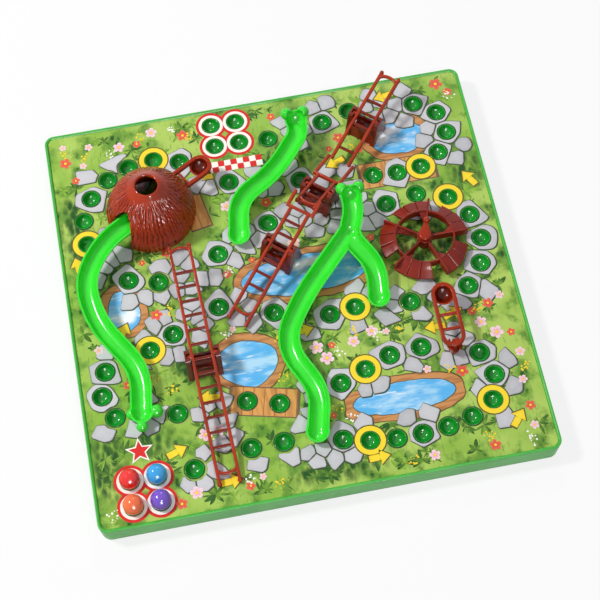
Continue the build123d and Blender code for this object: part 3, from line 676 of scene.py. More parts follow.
class Workshop:
    """Turns surfaces into pieces that ride on a body of the frame.

    Attributes:
        merge: distance in metres within which points of a new surface are one.
        sliver: length in metres below which an edge is taken out.
        solid_merge: distance in metres within which points of a solid of the frame are one.
        solid_crease: angle in degrees above which a solid's edges stay hard.
        flat: angle in degrees up to which a solid's triangles lie in one plane.
        round_steps: steps across a rounded edge.
    """

    merge: float = 1e-7
    sliver: float = 1e-8
    solid_merge: float = 2e-6
    solid_crease: float = 32.0
    flat: float = 1.0
    round_steps: int = 2

    @classmethod
    def mesh(cls, name: str, patch: Patch, skin: Skin) -> bpy.types.Mesh:
        """A merged mesh in metres with its faces turned the right way.

        Args:
            name: the mesh's name.
            patch: its surface in millimetres.
            skin: how its faces are turned.

        Returns:
            The mesh.
        """
        mesh = bpy.data.meshes.new(name)
        mesh.from_pydata((patch.points * MM).tolist(), [], patch.quads.tolist())
        tone = mesh.attributes.new("tone", "FLOAT", "POINT")
        tone.data.foreach_set("value", patch.tone.astype(np.float32))
        work = bmesh.new()
        work.from_mesh(mesh)
        bmesh.ops.remove_doubles(work, verts=work.verts, dist=cls.merge)
        bmesh.ops.dissolve_degenerate(work, edges=work.edges, dist=cls.sliver)
        if skin is Skin.SOLID:
            bmesh.ops.recalc_face_normals(work, faces=work.faces)
        else:
            work.normal_update()
            bmesh.ops.reverse_faces(work, faces=[f for f in work.faces if f.normal.z < 0])
        work.to_mesh(mesh)
        work.free()
        return mesh

    @classmethod
    def piece(
        cls, name: str, patch: Patch, body: str, slot: str, finish: Finish,
        replaces: Sequence[str] = (), crease: float = 40.0, skin: Skin = Skin.SOLID,
    ) -> None:
        """Make a piece from a surface.

        Args:
            name: the piece's name.
            patch: its surface in millimetres.
            body: the body that it rides on.
            slot: not used.
            finish: its finish.
            replaces: solids of the frame that it stands for.
            crease: angle in degrees above which edges stay hard.
            skin: how its faces are turned.
        """
        cls.finished(name, cls.mesh(name, patch, skin), body, slot, finish, replaces, crease)

    @classmethod
    def finished(
        cls, name: str, mesh: bpy.types.Mesh, body: str, slot: str, finish: Finish,
        replaces: Sequence[str], crease: float,
    ) -> bpy.types.Object:
        """Make a piece from a finished mesh.

        Args:
            name, body, slot, finish, replaces, crease: as for piece.
            mesh: the mesh.

        Returns:
            The new object.
        """
        mesh.polygons.foreach_set("use_smooth", np.ones(len(mesh.polygons), dtype=bool))
        mesh.set_sharp_from_angle(angle=math.radians(crease))
        mesh.materials.clear()
        mesh.materials.append(finish.material())
        made = placed(name, mesh)
        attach(made, body)
        if replaces:
            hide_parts(*replaces)
        LOG.info("%s: %d faces on %s", name, len(mesh.polygons), body)
        return made

    @classmethod
    def carried(
        cls, node: str, body: str, slot: str, finish: MouldedPlastic, rounding: float = 0.0,
    ) -> None:
        """Put a smooth-shaded copy, merged along its edges, in the place of a solid of the frame.

        Args:
            node: the solid's name.
            body: the body that it rides on.
            slot: not used.
            finish: its finish.
            rounding: width of its rounded edges in millimetres, or nothing for edges as they are.
        """
        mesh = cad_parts[node].data.copy()
        mesh.name = node + "_skin"
        work = bmesh.new()
        work.from_mesh(mesh)
        bmesh.ops.remove_doubles(work, verts=work.verts, dist=cls.solid_merge)
        if rounding:
            plane = math.radians(cls.flat)
            bmesh.ops.dissolve_limit(work, angle_limit=plane, verts=work.verts, edges=work.edges)
        work.to_mesh(mesh)
        work.free()
        cls.toned(mesh)
        made = cls.finished(node + "_skin", mesh, body, slot, finish, (node,), cls.solid_crease)
        if rounding:
            cls.rounded(made, rounding, cls.solid_crease)

    @staticmethod
    def toned(mesh: bpy.types.Mesh) -> None:
        """Give every point of a mesh the full tone."""
        tone = mesh.attributes.get("tone") or mesh.attributes.new("tone", "FLOAT", "POINT")
        tone.data.foreach_set("value", np.ones(len(mesh.vertices), np.float32))

    @classmethod
    def rounded(cls, piece: bpy.types.Object, width: float, angle: float) -> None:
        """Round a piece's edges.

        Args:
            piece: the object.
            width: width of the rounding in millimetres.
            angle: angle in degrees above which an edge is rounded.
        """
        edge = piece.modifiers.new("edge_round", "BEVEL")
        edge.width = width * MM
        edge.segments = cls.round_steps
        edge.limit_method = "ANGLE"
        edge.angle_limit = math.radians(angle)

    @classmethod
    def carved(cls, name: str, parts: Sequence[Patch], cutters: Sequence[Patch]) -> bpy.types.Mesh:
        """Fuse closed surfaces, then cut others out of them.

        Args:
            name: the mesh's name.
            parts: what is fused.
            cutters: what is cut away.

        Returns:
            The carved mesh.
        """
        helpers = []
        for i, patch in enumerate([*parts, *cutters]):
            block_name = f"{name}_block_{i}"
            helpers.append(placed(block_name, cls.mesh(block_name, patch, Skin.SOLID)))
        block = helpers[0]
        for i, helper in enumerate(helpers[1:], 1):
            step = block.modifiers.new(f"step_{i}", "BOOLEAN")
            step.operation = "UNION" if i < len(parts) else "DIFFERENCE"
            step.solver = "EXACT"
            step.object = helper
        shown = block.evaluated_get(bpy.context.evaluated_depsgraph_get())
        mesh = bpy.data.meshes.new_from_object(shown)
        mesh.name = name
        for helper in helpers:
            bpy.data.objects.remove(helper)
        return mesh


def smooth_line(points: Sequence[Sequence[float]], count: int) -> Array:
    """A smooth line through points: cubic pieces whose slope at a point is that of its neighbours' chord.

    Args:
        points: the points to pass through.
        count: how many samples to return.

    Returns:
        Samples spaced evenly in the pieces' own parameter.
    """
    p = np.asarray(points, float)
    slope = np.gradient(p, axis=0)
    at = np.linspace(0, len(p) - 1, count)
    k = np.clip(at.astype(int), 0, len(p) - 2)
    t = (at - k)[:, None]
    a = 2 * t**3 - 3 * t**2 + 1
    b = t**3 - 2 * t**2 + t
    c = -2 * t**3 + 3 * t**2
    d = t**3 - t**2
    return a * p[k] + b * slope[k] + c * p[k + 1] + d * slope[k + 1]


def distances(line: Array) -> Array:
    """How far each point of a line lies from its first, along the line."""
    return np.concatenate([[0], np.cumsum(np.linalg.norm(np.diff(line, axis=0), axis=1))])


def unit(vectors: Array) -> Array:
    """A vector, or rows of vectors, at length 1."""
    return vectors / np.linalg.norm(vectors, axis=-1, keepdims=True)


def circle(count: int) -> Array:
    """Unit vectors spaced evenly round a circle."""
    angle = np.linspace(0, 2 * np.pi, count, endpoint=False)
    return np.stack([np.cos(angle), np.sin(angle)], -1)


def polar(radius: Array, heading: Array, z: Array) -> Array:
    """Points at a distance and heading round the upright axis, and at a height."""
    return np.stack(np.broadcast_arrays(radius * np.cos(heading), radius * np.sin(heading), z), -1)


def turned_solid(profile: Array, segments: int, tone: Array | float = 1.0) -> Patch:
    """A profile of radius and height turned about the upright axis; ends on the axis close it.

    Args:
        profile: rows of radius and height.
        segments: how many steps round.
        tone: one tone, or a column with one for each row of the profile.

    Returns:
        The turned surface.
    """
    heading = np.linspace(0, 2 * np.pi, segments, endpoint=False)
    return Patch.grid(polar(profile[:, :1], heading, profile[:, 1:]), wrap_v=True, tone=tone)


def ball_shape(radius: float, segments: int) -> Patch:
    """A ball: a half circle turned about the upright axis."""
    angle = np.linspace(-np.pi / 2, np.pi / 2, segments // 2 + 1)
    return turned_solid(np.stack([radius * np.cos(angle), radius * np.sin(angle)], -1), segments)


def rounded_section(width: float, depth: float, power: float, count: int = 16) -> Array:
    """A rounded rectangle: the curve |x/a|^p + |y/b|^p = 1.

    Args:
        width: full size across.
        depth: full size up.
        power: p, 2 for an ellipse and more for squarer corners.
        count: points round it.

    Returns:
        Rows of across and up.
    """
    angle = np.linspace(0, 2 * np.pi, count, endpoint=False) + np.pi / count
    c, s = np.cos(angle), np.sin(angle)
    x = np.sign(c) * np.abs(c) ** (2 / power) * width / 2
    y = np.sign(s) * np.abs(s) ** (2 / power) * depth / 2
    return np.stack([x, y], -1)


def bar(path: Array, width: float, depth: float, closed: bool = False, power: float = 5.0) -> Patch:
    """A rounded bar along a path: a section carried along it, with domed ends where it is open.

    Args:
        path: rows of x, y and z in millimetres.
        width: size across, level with the board in the bar's own frame.
        depth: size up.
        closed: whether the path is a loop.
        power: squareness of the section.

    Returns:
        The closed surface.
    """
    p = np.asarray(path, float)
    if closed:
        tangent = np.roll(p, -1, 0) - np.roll(p, 1, 0)
    else:
        tangent = np.gradient(p, axis=0)
    tangent = unit(tangent)
    up = np.where(np.abs(tangent[:, 2:]) > 0.9, np.array([[0.0, 1.0, 0.0]]), np.array([[0.0, 0.0, 1.0]]))
    across = unit(np.cross(up, tangent))
    rise = np.cross(tangent, across)
    section = rounded_section(width, depth, power)
    scale = np.ones(len(p))
    if not closed:
        step = min(width, depth) * DOME_LENGTH
        ends = np.array(DOME_SIZES)
        push = step * (1 - np.sqrt(1 - (1 - np.array(DOME_STEPS)) ** 2))
        head = p[0] + tangent[0] * push[:, None]
        tail = (p[-1] - tangent[-1] * push[:, None])[::-1]
        p = np.concatenate([head, p[:1] + tangent[:1] * step, p[1:-1], p[-1:] - tangent[-1:] * step, tail])
        across = np.concatenate([np.repeat(across[:1], 3, 0), across, np.repeat(across[-1:], 3, 0)])
        rise = np.concatenate([np.repeat(rise[:1], 3, 0), rise, np.repeat(rise[-1:], 3, 0)])
        scale = np.concatenate([ends, scale, ends[::-1]])
    size = section[None, :, :] * scale[:, None, None]
    points = p[:, None, :] + size[..., :1] * across[:, None, :] + size[..., 1:] * rise[:, None, :]
    return Patch.grid(points, wrap_u=closed, wrap_v=True)


def straight(start: Sequence[float], end: Sequence[float], count: int = 4) -> Array:
    """Points along a straight line."""
    t = np.linspace(0, 1, count)[:, None]
    return np.asarray(start, float) * (1 - t) + np.asarray(end, float) * t


def slab(first: Array, second: Array, tone: Array | float = 1.0) -> Patch:
    """A plate between two grids of the same shape: both faces and the strip round their edges.

    Args:
        first: grid of points of one face.
        second: grid of points of the other face.
        tone: tone of the first face.

    Returns:
        The closed plate.
    """
    def edge(grid: Array) -> Array:
        """The points round a grid's edge, in order."""
        return np.concatenate([grid[0], grid[1:, -1], grid[-1, -2::-1], grid[-2:0:-1, 0]])

    rim = np.stack([edge(first), edge(second)], 0)
    return Patch.join([Patch.grid(first, tone=tone), Patch.grid(second), Patch.grid(rim, wrap_v=True)])


def rounded_route(points: Array, share: float, spacing: float) -> Array:
    """A route whose corners are tangent arcs, sampled at an even spacing.

    Args:
        points: corners of the route.
        share: how much of the shorter neighbouring run each arc takes.
        spacing: distance between samples.

    Returns:
        Rows of two numbers.
    """
    runs = np.diff(points, axis=0)
    lengths = np.linalg.norm(runs, axis=1)
    ways = runs / lengths[:, None]
    pieces = [points[:1]]
    for k in range(1, len(points) - 1):
        a, b = ways[k - 1], ways[k]
        turn = math.atan2(a[0] * b[1] - a[1] * b[0], float(a @ b))
        reach = share * min(lengths[k - 1], lengths[k])
        radius = reach / math.tan(abs(turn) / 2)
        angle = np.linspace(0, abs(turn), ARC_STEPS)[:, None]
        side = math.copysign(1.0, turn) * np.array([-a[1], a[0]])
        pieces.append(points[k] - reach * a + radius * (np.sin(angle) * a + (1 - np.cos(angle)) * side))
    pieces.append(points[-1:])
    line = np.concatenate(pieces)
    travelled = distances(line)
    stations = np.linspace(0, travelled[-1], int(travelled[-1] / spacing) + 1)
    return np.stack([np.interp(stations, travelled, line[:, i]) for i in (0, 1)], -1)


class HeadEnd(Enum):
    """What the first end of a snake's trough is like."""

    BOWL = "a half ball a little wider than the run"
    JOINED = "a half ball as wide as the run, inside another run"


@dataclass
class Trough:
    """One half-round run of a snake, falling evenly from its first to its last point.

    Attributes:
        route: corners seen from above.
        first: height of the rim above the sheet at the first end.
        last: height of the rim above the sheet at the last end.
        head: kind of its first end.
        radius: outer radius.
        wall: wall thickness.
        swell: how much larger the end bowls are.
        bend: share of the shorter run that a bend takes.
        spacing: distance between sections.
        cap_rings: sections of an end's half ball, its widest one counted.
        round_steps: points round the half circle of a section.
        lid: how far the ball's way is cut open above the rim.
    """

    route: Sequence[Place]
    first: float
    last: float
    head: HeadEnd = HeadEnd.BOWL
    radius: float = 6.5
    wall: float = 1.2
    swell: float = 0.5
    bend: float = 0.47
    spacing: float = 1.1
    cap_rings: int = 9
    round_steps: int = 29
    lid: float = 7.0

    def solid(self, inner: bool) -> Patch:
        """The outer bar, or the ball's way that is cut from it.

        Width and depth follow the larger of the plain run and a ball's circle at the ends, so the
        ends close as half balls.

        Args:
            inner: whether to return the way that is cut.

        Returns:
            A closed surface.
        """
        plan = np.asarray(self.route, float)
        chord = plan[-1] - plan[0]
        level = np.linalg.norm(chord)
        ahead = chord / level
        left = np.array([-ahead[1], ahead[0]])
        slope = math.atan2(self.first - self.last, level)
        local = np.stack([(plan - plan[0]) @ ahead / math.cos(slope), (plan - plan[0]) @ left], -1)
        line = rounded_route(local, self.bend, self.spacing)
        plain = self.radius - (self.wall if inner else 0.0)
        last_ball = plain + self.swell
        first_ball = last_ball if self.head is HeadEnd.BOWL else plain
        angle = np.linspace(0, np.pi / 2, self.cap_rings)[1:]
        start_way, end_way = unit(line[0] - line[1]), unit(line[-1] - line[-2])
        head = (line[0] + first_ball * np.sin(angle)[:, None] * start_way)[::-1]
        tail = line[-1] + last_ball * np.sin(angle)[:, None] * end_way
        travel = np.arange(len(line)) * np.linalg.norm(line[1] - line[0])
        at_first = np.sqrt(np.maximum(first_ball**2 - travel**2, 0))
        at_last = np.sqrt(np.maximum(last_ball**2 - (travel[-1] - travel) ** 2, 0))
        along = np.maximum(plain, np.maximum(at_first, at_last))
        reach = np.concatenate([first_ball * np.cos(angle)[::-1], along, last_ball * np.cos(angle)])
        reach = reach[:, None]
        path = np.concatenate([head, line, tail])
        way = unit(np.gradient(path, axis=0))
        side = np.stack([-way[:, 1], way[:, 0]], -1)
        around = np.linspace(np.pi, 2 * np.pi, self.round_steps)[None, :]
        lid = self.lid if inner else 0.0
        across = np.concatenate([reach * np.cos(around), reach, reach * 0, -reach], 1)
        rise = np.concatenate([reach * np.sin(around), *[np.full_like(reach, lid)] * 3], 1)
        flat = path[:, None, :] + across[..., None] * side[:, None, :]
        run, off = flat[..., 0], flat[..., 1]
        x = plan[0, 0] + ahead[0] * (run * math.cos(slope) + rise * math.sin(slope)) + left[0] * off
        y = plan[0, 1] + ahead[1] * (run * math.cos(slope) + rise * math.sin(slope)) + left[1] * off
        z = SHEET_TOP + self.first - run * math.sin(slope) + rise * math.cos(slope)
        return Patch.grid(np.stack([x, y, z], -1), wrap_v=True)


@dataclass
class Snake:
    """A snake: its troughs, the lumps of its head and the posts that it stands on.

    Attributes:
        node: the solid that it stands for.
        troughs: its runs.
        lumps: places, heights above the sheet and radii of round lumps.
        posts: places and heights of its posts.
        post_radius: radius of a post.
        flange: how far a post's foot stands out.
        flange_top: height of the foot's edge.
        neck: height at which the post is plain.
        taper: how much thinner a post is at its top.
        lump_turn: tilt of the lumps in degrees, so that their poles don't show.
        rim: width of the rounded rims.
    """

    node: str
    troughs: list[Trough]
    lumps: Sequence[tuple[float, float, float, float]]
    posts: list[Triple]
    post_radius: float = 3.5
    flange: float = 0.5
    flange_top: float = 0.8
    neck: float = 1.4
    taper: float = 0.3
    lump_turn: float = 25.0
    rim: float = 0.32

    def build(self) -> None:
        """Fuse the runs, lumps and posts, cut the ball's way and round the rims."""
        parts = [trough.solid(False) for trough in self.troughs]
        for x, y, height, radius in self.lumps:
            lump = ball_shape(radius, 32).turned("X", self.lump_turn)
            parts.append(lump.shifted(x, y, SHEET_TOP + height))
        for x, y, height in self.posts:
            r = self.post_radius
            wide = r + self.flange
            foot = [[0, 0.01], [wide, 0.01], [wide, self.flange_top]]
            profile = np.array([*foot, [r, self.neck], [r - self.taper, height], [0, height]])
            parts.append(turned_solid(profile, 32).shifted(x, y, SHEET_TOP))
        cutters = [trough.solid(True) for trough in self.troughs]
        mesh = Workshop.carved(self.node + "_body", parts, cutters)
        Workshop.toned(mesh)
        made = Workshop.finished(
            self.node + "_body", mesh, BOARD, "snake_green", SNAKE_GREEN, (self.node,), 38.0)
        Workshop.rounded(made, self.rim, 40.0)


@dataclass
class Hut:
    """Thatched hut: a dome with strands of thatch, a ball hole, an arch and a hatch.

    Attributes:
        x: middle across the board.
        y: middle along the board.
        outline: radius and height above the sheet, from the base to the hole.
        arch: heading and half width of the arch in degrees, and its height.
        hatch: heading and half width of the hatch in degrees, and its height.
        strands: thatch strands round the dome.
        wall: wall thickness.
        crown: height at which the wall lies flattest.
        lip: height from which the wall keeps clear of the hole.
        hole: radius of the hole.
        depths: how far the broad and the fine strands stand out.
        eaves: how far each ridge stands out, its height, width, waves round the dome and their start.
    """

    x: float = -75.0
    y: float = 65.0
    outline: Sequence[Place] = (
        (26.4, 0.05), (27.3, 3.2), (27.3, 7.0), (26.5, 11.0), (25.0, 15.5), (22.9, 20.0), (20.2, 24.4),
        (17.0, 28.4), (13.2, 32.0), (9.8, 34.8), (8.4, 35.9), (7.6, 36.45), (7.0, 36.35), (6.65, 35.7),
    )
    arch: Triple = (216.5, 19.3, 26.8)
    hatch: Triple = (34.0, 20.6, 15.6)
    strands: int = 58
    wall: float = 1.6
    crown: float = 36.0
    lip: float = 34.0
    hole: float = 6.6
    depths: Pair = (0.9, 0.26)
    eaves: Sequence[tuple[float, ...]] = ((0.35, 9.5, 3.0, 9, 0), (0.25, 21.0, 3.4, 8, 2))

    def build(self) -> None:
        """Make the dome's shell: its outline turned and pushed out by the thatch, with a wall inside."""
        profile = smooth_line(self.outline, 240)
        travelled = distances(profile)
        columns, foot = self._columns()
        start = np.interp(foot, profile[:, 1], travelled)
        share = np.linspace(0, 1, 90)[:, None]
        at = start + (travelled[-1] - start) * share
        radius = np.interp(at, travelled, profile[:, 0])
        height = np.interp(at, travelled, profile[:, 1])
        angle = np.broadcast_to(columns, at.shape)
        groove = self._thatch(angle, height)
        lean = np.clip(height / self.crown, 0, 1)
        radius = radius + groove * np.sqrt(1 - 0.6 * lean)
        z = height + groove * 0.5 * lean
        outside = polar(radius, angle, z)
        inner_radius = np.interp(at, travelled, profile[:, 0]) - self.wall * np.sqrt(1 - 0.45 * lean)
        inner_radius = np.where(height > self.lip, np.maximum(inner_radius, self.hole), inner_radius)
        inner_z = np.maximum(height - self.wall * (0.25 + 0.75 * lean) * lean, 0.05)
        inside = polar(inner_radius, angle, inner_z)
        # Painted shade: the tone darkens the thatch's furrows, and the inside of the dome and the strips
        # at its foot and lip take the darker colour.
        walls = [
            Patch.grid(outside, tone=np.clip(0.5 + 0.75 * groove, 0, 1)),
            Patch.grid(inside, tone=0.0),
            *[Patch.grid(np.stack([outside[k], inside[k]]), tone=0.3) for k in (0, -1)],
        ]
        dome = Patch.join(walls).shifted(self.x, self.y, SHEET_TOP)
        Workshop.piece("hut_thatch", dome, BOARD, "timber_brown", THATCH_BROWN, ("hut_dome",), 55.0)

    def _columns(self) -> tuple[Array, Array]:
        """Headings of the dome's columns and the height at which each starts.

        A column in an opening starts on a bow, h (b + (1 - b) (1 - |t|^p)^(1/p)) for t from -1 to 1 across
        the opening of height h, and each opening's two sides have a double column.

        Returns:
            Headings in radians and starting heights.
        """
        openings = [(self.hatch, 2.6, 0.86), (self.arch, 2.0, 0.42)]
        ground = self.outline[0][1]
        closed_steps = 150
        inside = np.linspace(-1, 1, 61)
        angle, foot = [], []
        before = self.arch[0] + self.arch[1] - 360.0
        for (heading, half, top), power, base in openings:
            angle += [np.linspace(before, heading - half, closed_steps), heading + half * inside]
            bow = (1 - np.abs(inside) ** power) ** (1 / power)
            foot += [np.full(closed_steps, ground), top * (base + (1 - base) * bow)]
            before = heading + half
        turned = np.radians(np.concatenate([*angle, [before]]))
        return turned, np.concatenate([*foot, [ground]])

    def _thatch(self, angle: Array, height: Array) -> Array:
        """How far the thatch stands out.

        Broad and fine strands are powers of |sin| of the heading, which wanders with the height. Ridges
        that wave round the dome and small knots are added, and all of it fades at the foot and the lip.

        Args:
            angle: heading in radians.
            height: height above the sheet.

        Returns:
            Distance out in millimetres.
        """
        wander = 0.13 * np.sin(0.42 * height + 5 * angle) + 0.09 * np.sin(0.9 * height + 11 * angle + 1.3)
        wander = wander + 0.35 * np.sin(7 * angle + 0.4) + 0.25 * np.sin(13 * angle)
        strand = np.abs(np.sin(np.pi * (self.strands * angle / (2 * np.pi) + wander))) ** 0.7
        fine = np.abs(np.sin(np.pi * (2.3 * self.strands * angle / (2 * np.pi) + 1.7 * wander))) ** 0.8
        relief = 0.0
        for out, level, width, waves, start in self.eaves:
            off = height - level - 0.8 * np.sin(waves * angle + start)
            relief = relief + out * np.exp(-((off / width) ** 2))
        relief = relief + 0.1 * np.sin(1.7 * height + 40 * angle + 2 * np.sin(0.3 * height))
        fade = np.clip((34.2 - height) / 3.5, 0, 1) * np.clip(height / 2.0, 0.2, 1)
        broad_depth, fine_depth = self.depths
        return fade * (broad_depth * (strand - 0.75) + fine_depth * (fine - 0.7) + relief)


@dataclass
class Ladder:
    """A seesaw ladder on side pins.

    Attributes:
        name: left, lower, middle or upper.
        x: pins' place across the board.
        y: pins' place along the board.
        heading: direction of its high end seen from above.
        slope: its tilt at rest.
        low: length of the rails on the low side.
        high: length of the rails on the high side.
        rungs: distances of its rungs from the pins.
        stops: distance of each bowed bar's ends, and which way it bows.
        fork: length of the wide fork at the high end, or nothing.
        pivot: the pins' height.
        spacing: distance between the rails.
        fork_spacing: distance between the fork's arms.
        rail: width and depth of a rail.
        rung: width and depth of a rung.
        stop: width and depth of a bowed bar.
        bow: how far a bowed bar stands out.
        yoke: width and depth of the bar that carries the fork.
        pin: thickness of a pin.
        pin_end: distance of a pin's end from the middle.
        tip: radius of the ball at a rail's end.
    """

    name: str
    x: float
    y: float
    heading: float
    slope: float
    low: float
    high: float
    rungs: Sequence[float]
    stops: Sequence[Pair]
    fork: float = 0.0
    pivot: float = 29.0
    spacing: float = 12.0
    fork_spacing: float = 17.2
    rail: Pair = (2.0, 2.6)
    rung: Pair = (1.8, 1.6)
    stop: Pair = (1.8, 2.5)
    bow: float = 3.4
    yoke: Pair = (1.9, 2.5)
    pin: float = 2.6
    pin_end: float = 9.2
    tip: float = 1.45

    def build(self) -> None:
        """Rails, rungs in painted shade, bowed stops, fork and pins as rounded bars."""
        half = self.spacing / 2
        bars = []
        for side in (1, -1):
            y = side * half
            bars.append(bar(straight((-self.low, y, 0), (self.high, y, 0), 24), *self.rail))
            pin = straight((0, y, 0), (0, side * self.pin_end, 0))
            bars.append(bar(pin, self.pin, self.pin, power=2.0))
            for end in (-self.low, self.high):
                if not (self.fork and end > 0):
                    bars.append(ball_shape(self.tip, 16).shifted(end * (1 - 1.2 / abs(end)), y, 0))
        for at in self.rungs:
            # Painted shade: the rungs take the darker colour, as if lying in the shade of the rails.
            bars.append(bar(straight((at, -half, 0), (at, half, 0)), *self.rung).in_painted_shade(0.15))
        for at, outward in self.stops:
            angle = np.linspace(-np.pi / 2, np.pi / 2, 15)
            along = at + outward * self.bow * np.cos(angle)
            bars.append(bar(np.stack([along, half * np.sin(angle), 0 * angle], -1), *self.stop))
        if self.fork:
            wide = self.fork_spacing / 2
            ends = ((self.high, -wide - 0.9, 0), (self.high, wide + 0.9, 0))
            bars.append(bar(straight(*ends), *self.yoke))
            for side in (1, -1):
                ends = ((self.high - 0.8, side * wide, 0), (self.high + self.fork, side * wide, 0))
                bars.append(bar(straight(*ends, 8), *self.rail))
        shape = Patch.join(bars).turned("Y", -self.slope).turned("Z", self.heading)
        node = "ladder_" + self.name
        shape = shape.shifted(self.x, self.y, self.pivot)
        body = node + "_seesaw"
        Workshop.piece(node + "_frame", shape, body, "timber_brown", LADDER_RED, (node,), 50.0)


@dataclass
class Catapult:
    """A catapult's arm: an oval frame with rungs and a ball bowl that is scooped towards the hinge.

    Attributes:
        name: which catapult it is.
        x: hinge's place across the board.
        y: hinge's place along the board.
        heading: direction of the bowl seen from above.
        lift: tilt at rest.
        level: the hinge's height.
        length: length of the arm.
        width: its width.
        rail: width of the oval rail.
        depth: depth of the rail.
        drop: how far the rail lies above the hinge.
        overhang: how far the arm reaches behind the hinge.
        bowl: inner radius of the bowl.
        bowl_wall: thickness of the bowl.
        dip: how far the bowl's rim sinks towards the hinge.
        rungs: distances of the rungs from the hinge.
        rung: thickness of a rung.
        tongue: width and depth of the tongue that hangs on the hinge.
        pin: thickness of the hinge pin.
        pin_end: half the length of the pin.
    """

    name: str
    x: float
    y: float
    heading: float
    lift: float = 4.0
    level: float = 21.3
    length: float = 41.2
    width: float = 14.6
    rail: float = 2.4
    depth: float = 3.0
    drop: float = 2.4
    overhang: float = 2.4
    bowl: float = 6.1
    bowl_wall: float = 1.0
    dip: float = 2.0
    rungs: Sequence[float] = (9.3, 18.6)
    rung: float = 1.8
    tongue: Pair = (4.4, 3.0)
    pin: float = 2.2
    pin_end: float = 4.3

    def build(self) -> None:
        """Oval rail, rungs, bowl, tongue and hinge pins."""
        start = -self.overhang + self.width / 2
        end = self.length - self.overhang - self.width / 2
        radius = (self.width - self.rail) / 2
        half = np.linspace(-np.pi / 2, np.pi / 2, 20)
        far = np.stack([end + radius * np.cos(half), radius * np.sin(half)], -1)
        near = np.stack([start - radius * np.cos(half), -radius * np.sin(half)], -1)
        top_run = straight((end, radius), (start, radius), 12)[1:-1]
        low_run = straight((start, -radius), (end, -radius), 12)[1:-1]
        loop = np.concatenate([far, top_run, near, low_run])
        loop = np.concatenate([loop, np.full((len(loop), 1), self.drop + self.depth / 2)], 1)
        parts = [bar(loop, self.rail, self.depth, closed=True, power=6.0)]
        for at in self.rungs:
            ends = ((at, -radius, self.drop + self.rung / 2), (at, radius, self.drop + self.rung / 2))
            parts.append(bar(straight(*ends), self.rung, self.rung))
        reach = self.length - self.overhang - self.bowl - self.bowl_wall
        parts.append(self._scoop().shifted(reach, 0, self.drop + self.depth))
        parts.append(bar(straight((0, 0, -1.2), (0, 0, self.drop + self.depth - 0.2)), *self.tongue))
        pin = straight((0, -self.pin_end, 0), (0, self.pin_end, 0))
        parts.append(bar(pin, self.pin, self.pin, power=2.0))
        shape = Patch.join(parts).turned("Y", -self.lift).turned("Z", self.heading)
        shape = shape.shifted(self.x, self.y, self.level)
        node = self.name + "_arm"
        body = self.name + "_lever"
        Workshop.piece(node + "_frame", shape, body, "timber_brown", TIMBER_BROWN, (node,), 50.0)

    def _scoop(self) -> Patch:
        """The bowl: ball surfaces outside and inside up to a rim that sinks towards the hinge.

        On the outer ball the height angle runs from straight down to the rim, and back down on the inner
        one. The rim lies below the frame's top by a step of the heading.

        Returns:
            The closed bowl round its middle.
        """
        heading = np.linspace(0, 2 * np.pi, 48, endpoint=False)[None, :]
        sunk = 0.15 + self.dip * np.clip(0.5 - 2.0 * np.cos(heading), 0, 1)
        share = np.linspace(0, 1, 14)[:, None]
        shell = self.bowl + self.bowl_wall
        outer = -np.pi / 2 + share * (np.pi / 2 - np.arcsin(sunk / shell))
        inner = (-np.pi / 2 + share * (np.pi / 2 - np.arcsin((sunk + 0.2) / self.bowl)))[::-1]
        radius = np.concatenate([shell * np.cos(outer), self.bowl * np.cos(inner)])
        z = np.concatenate([shell * np.sin(outer), self.bowl * np.sin(inner)])
        # Painted shade: the inside of the bowl takes the darker colour, darkest at its bottom.
        tone = np.concatenate([np.ones(14), np.linspace(0.2, 0.0, 14)])[:, None]
        return Patch.grid(polar(radius, heading, z), wrap_v=True, tone=tone)


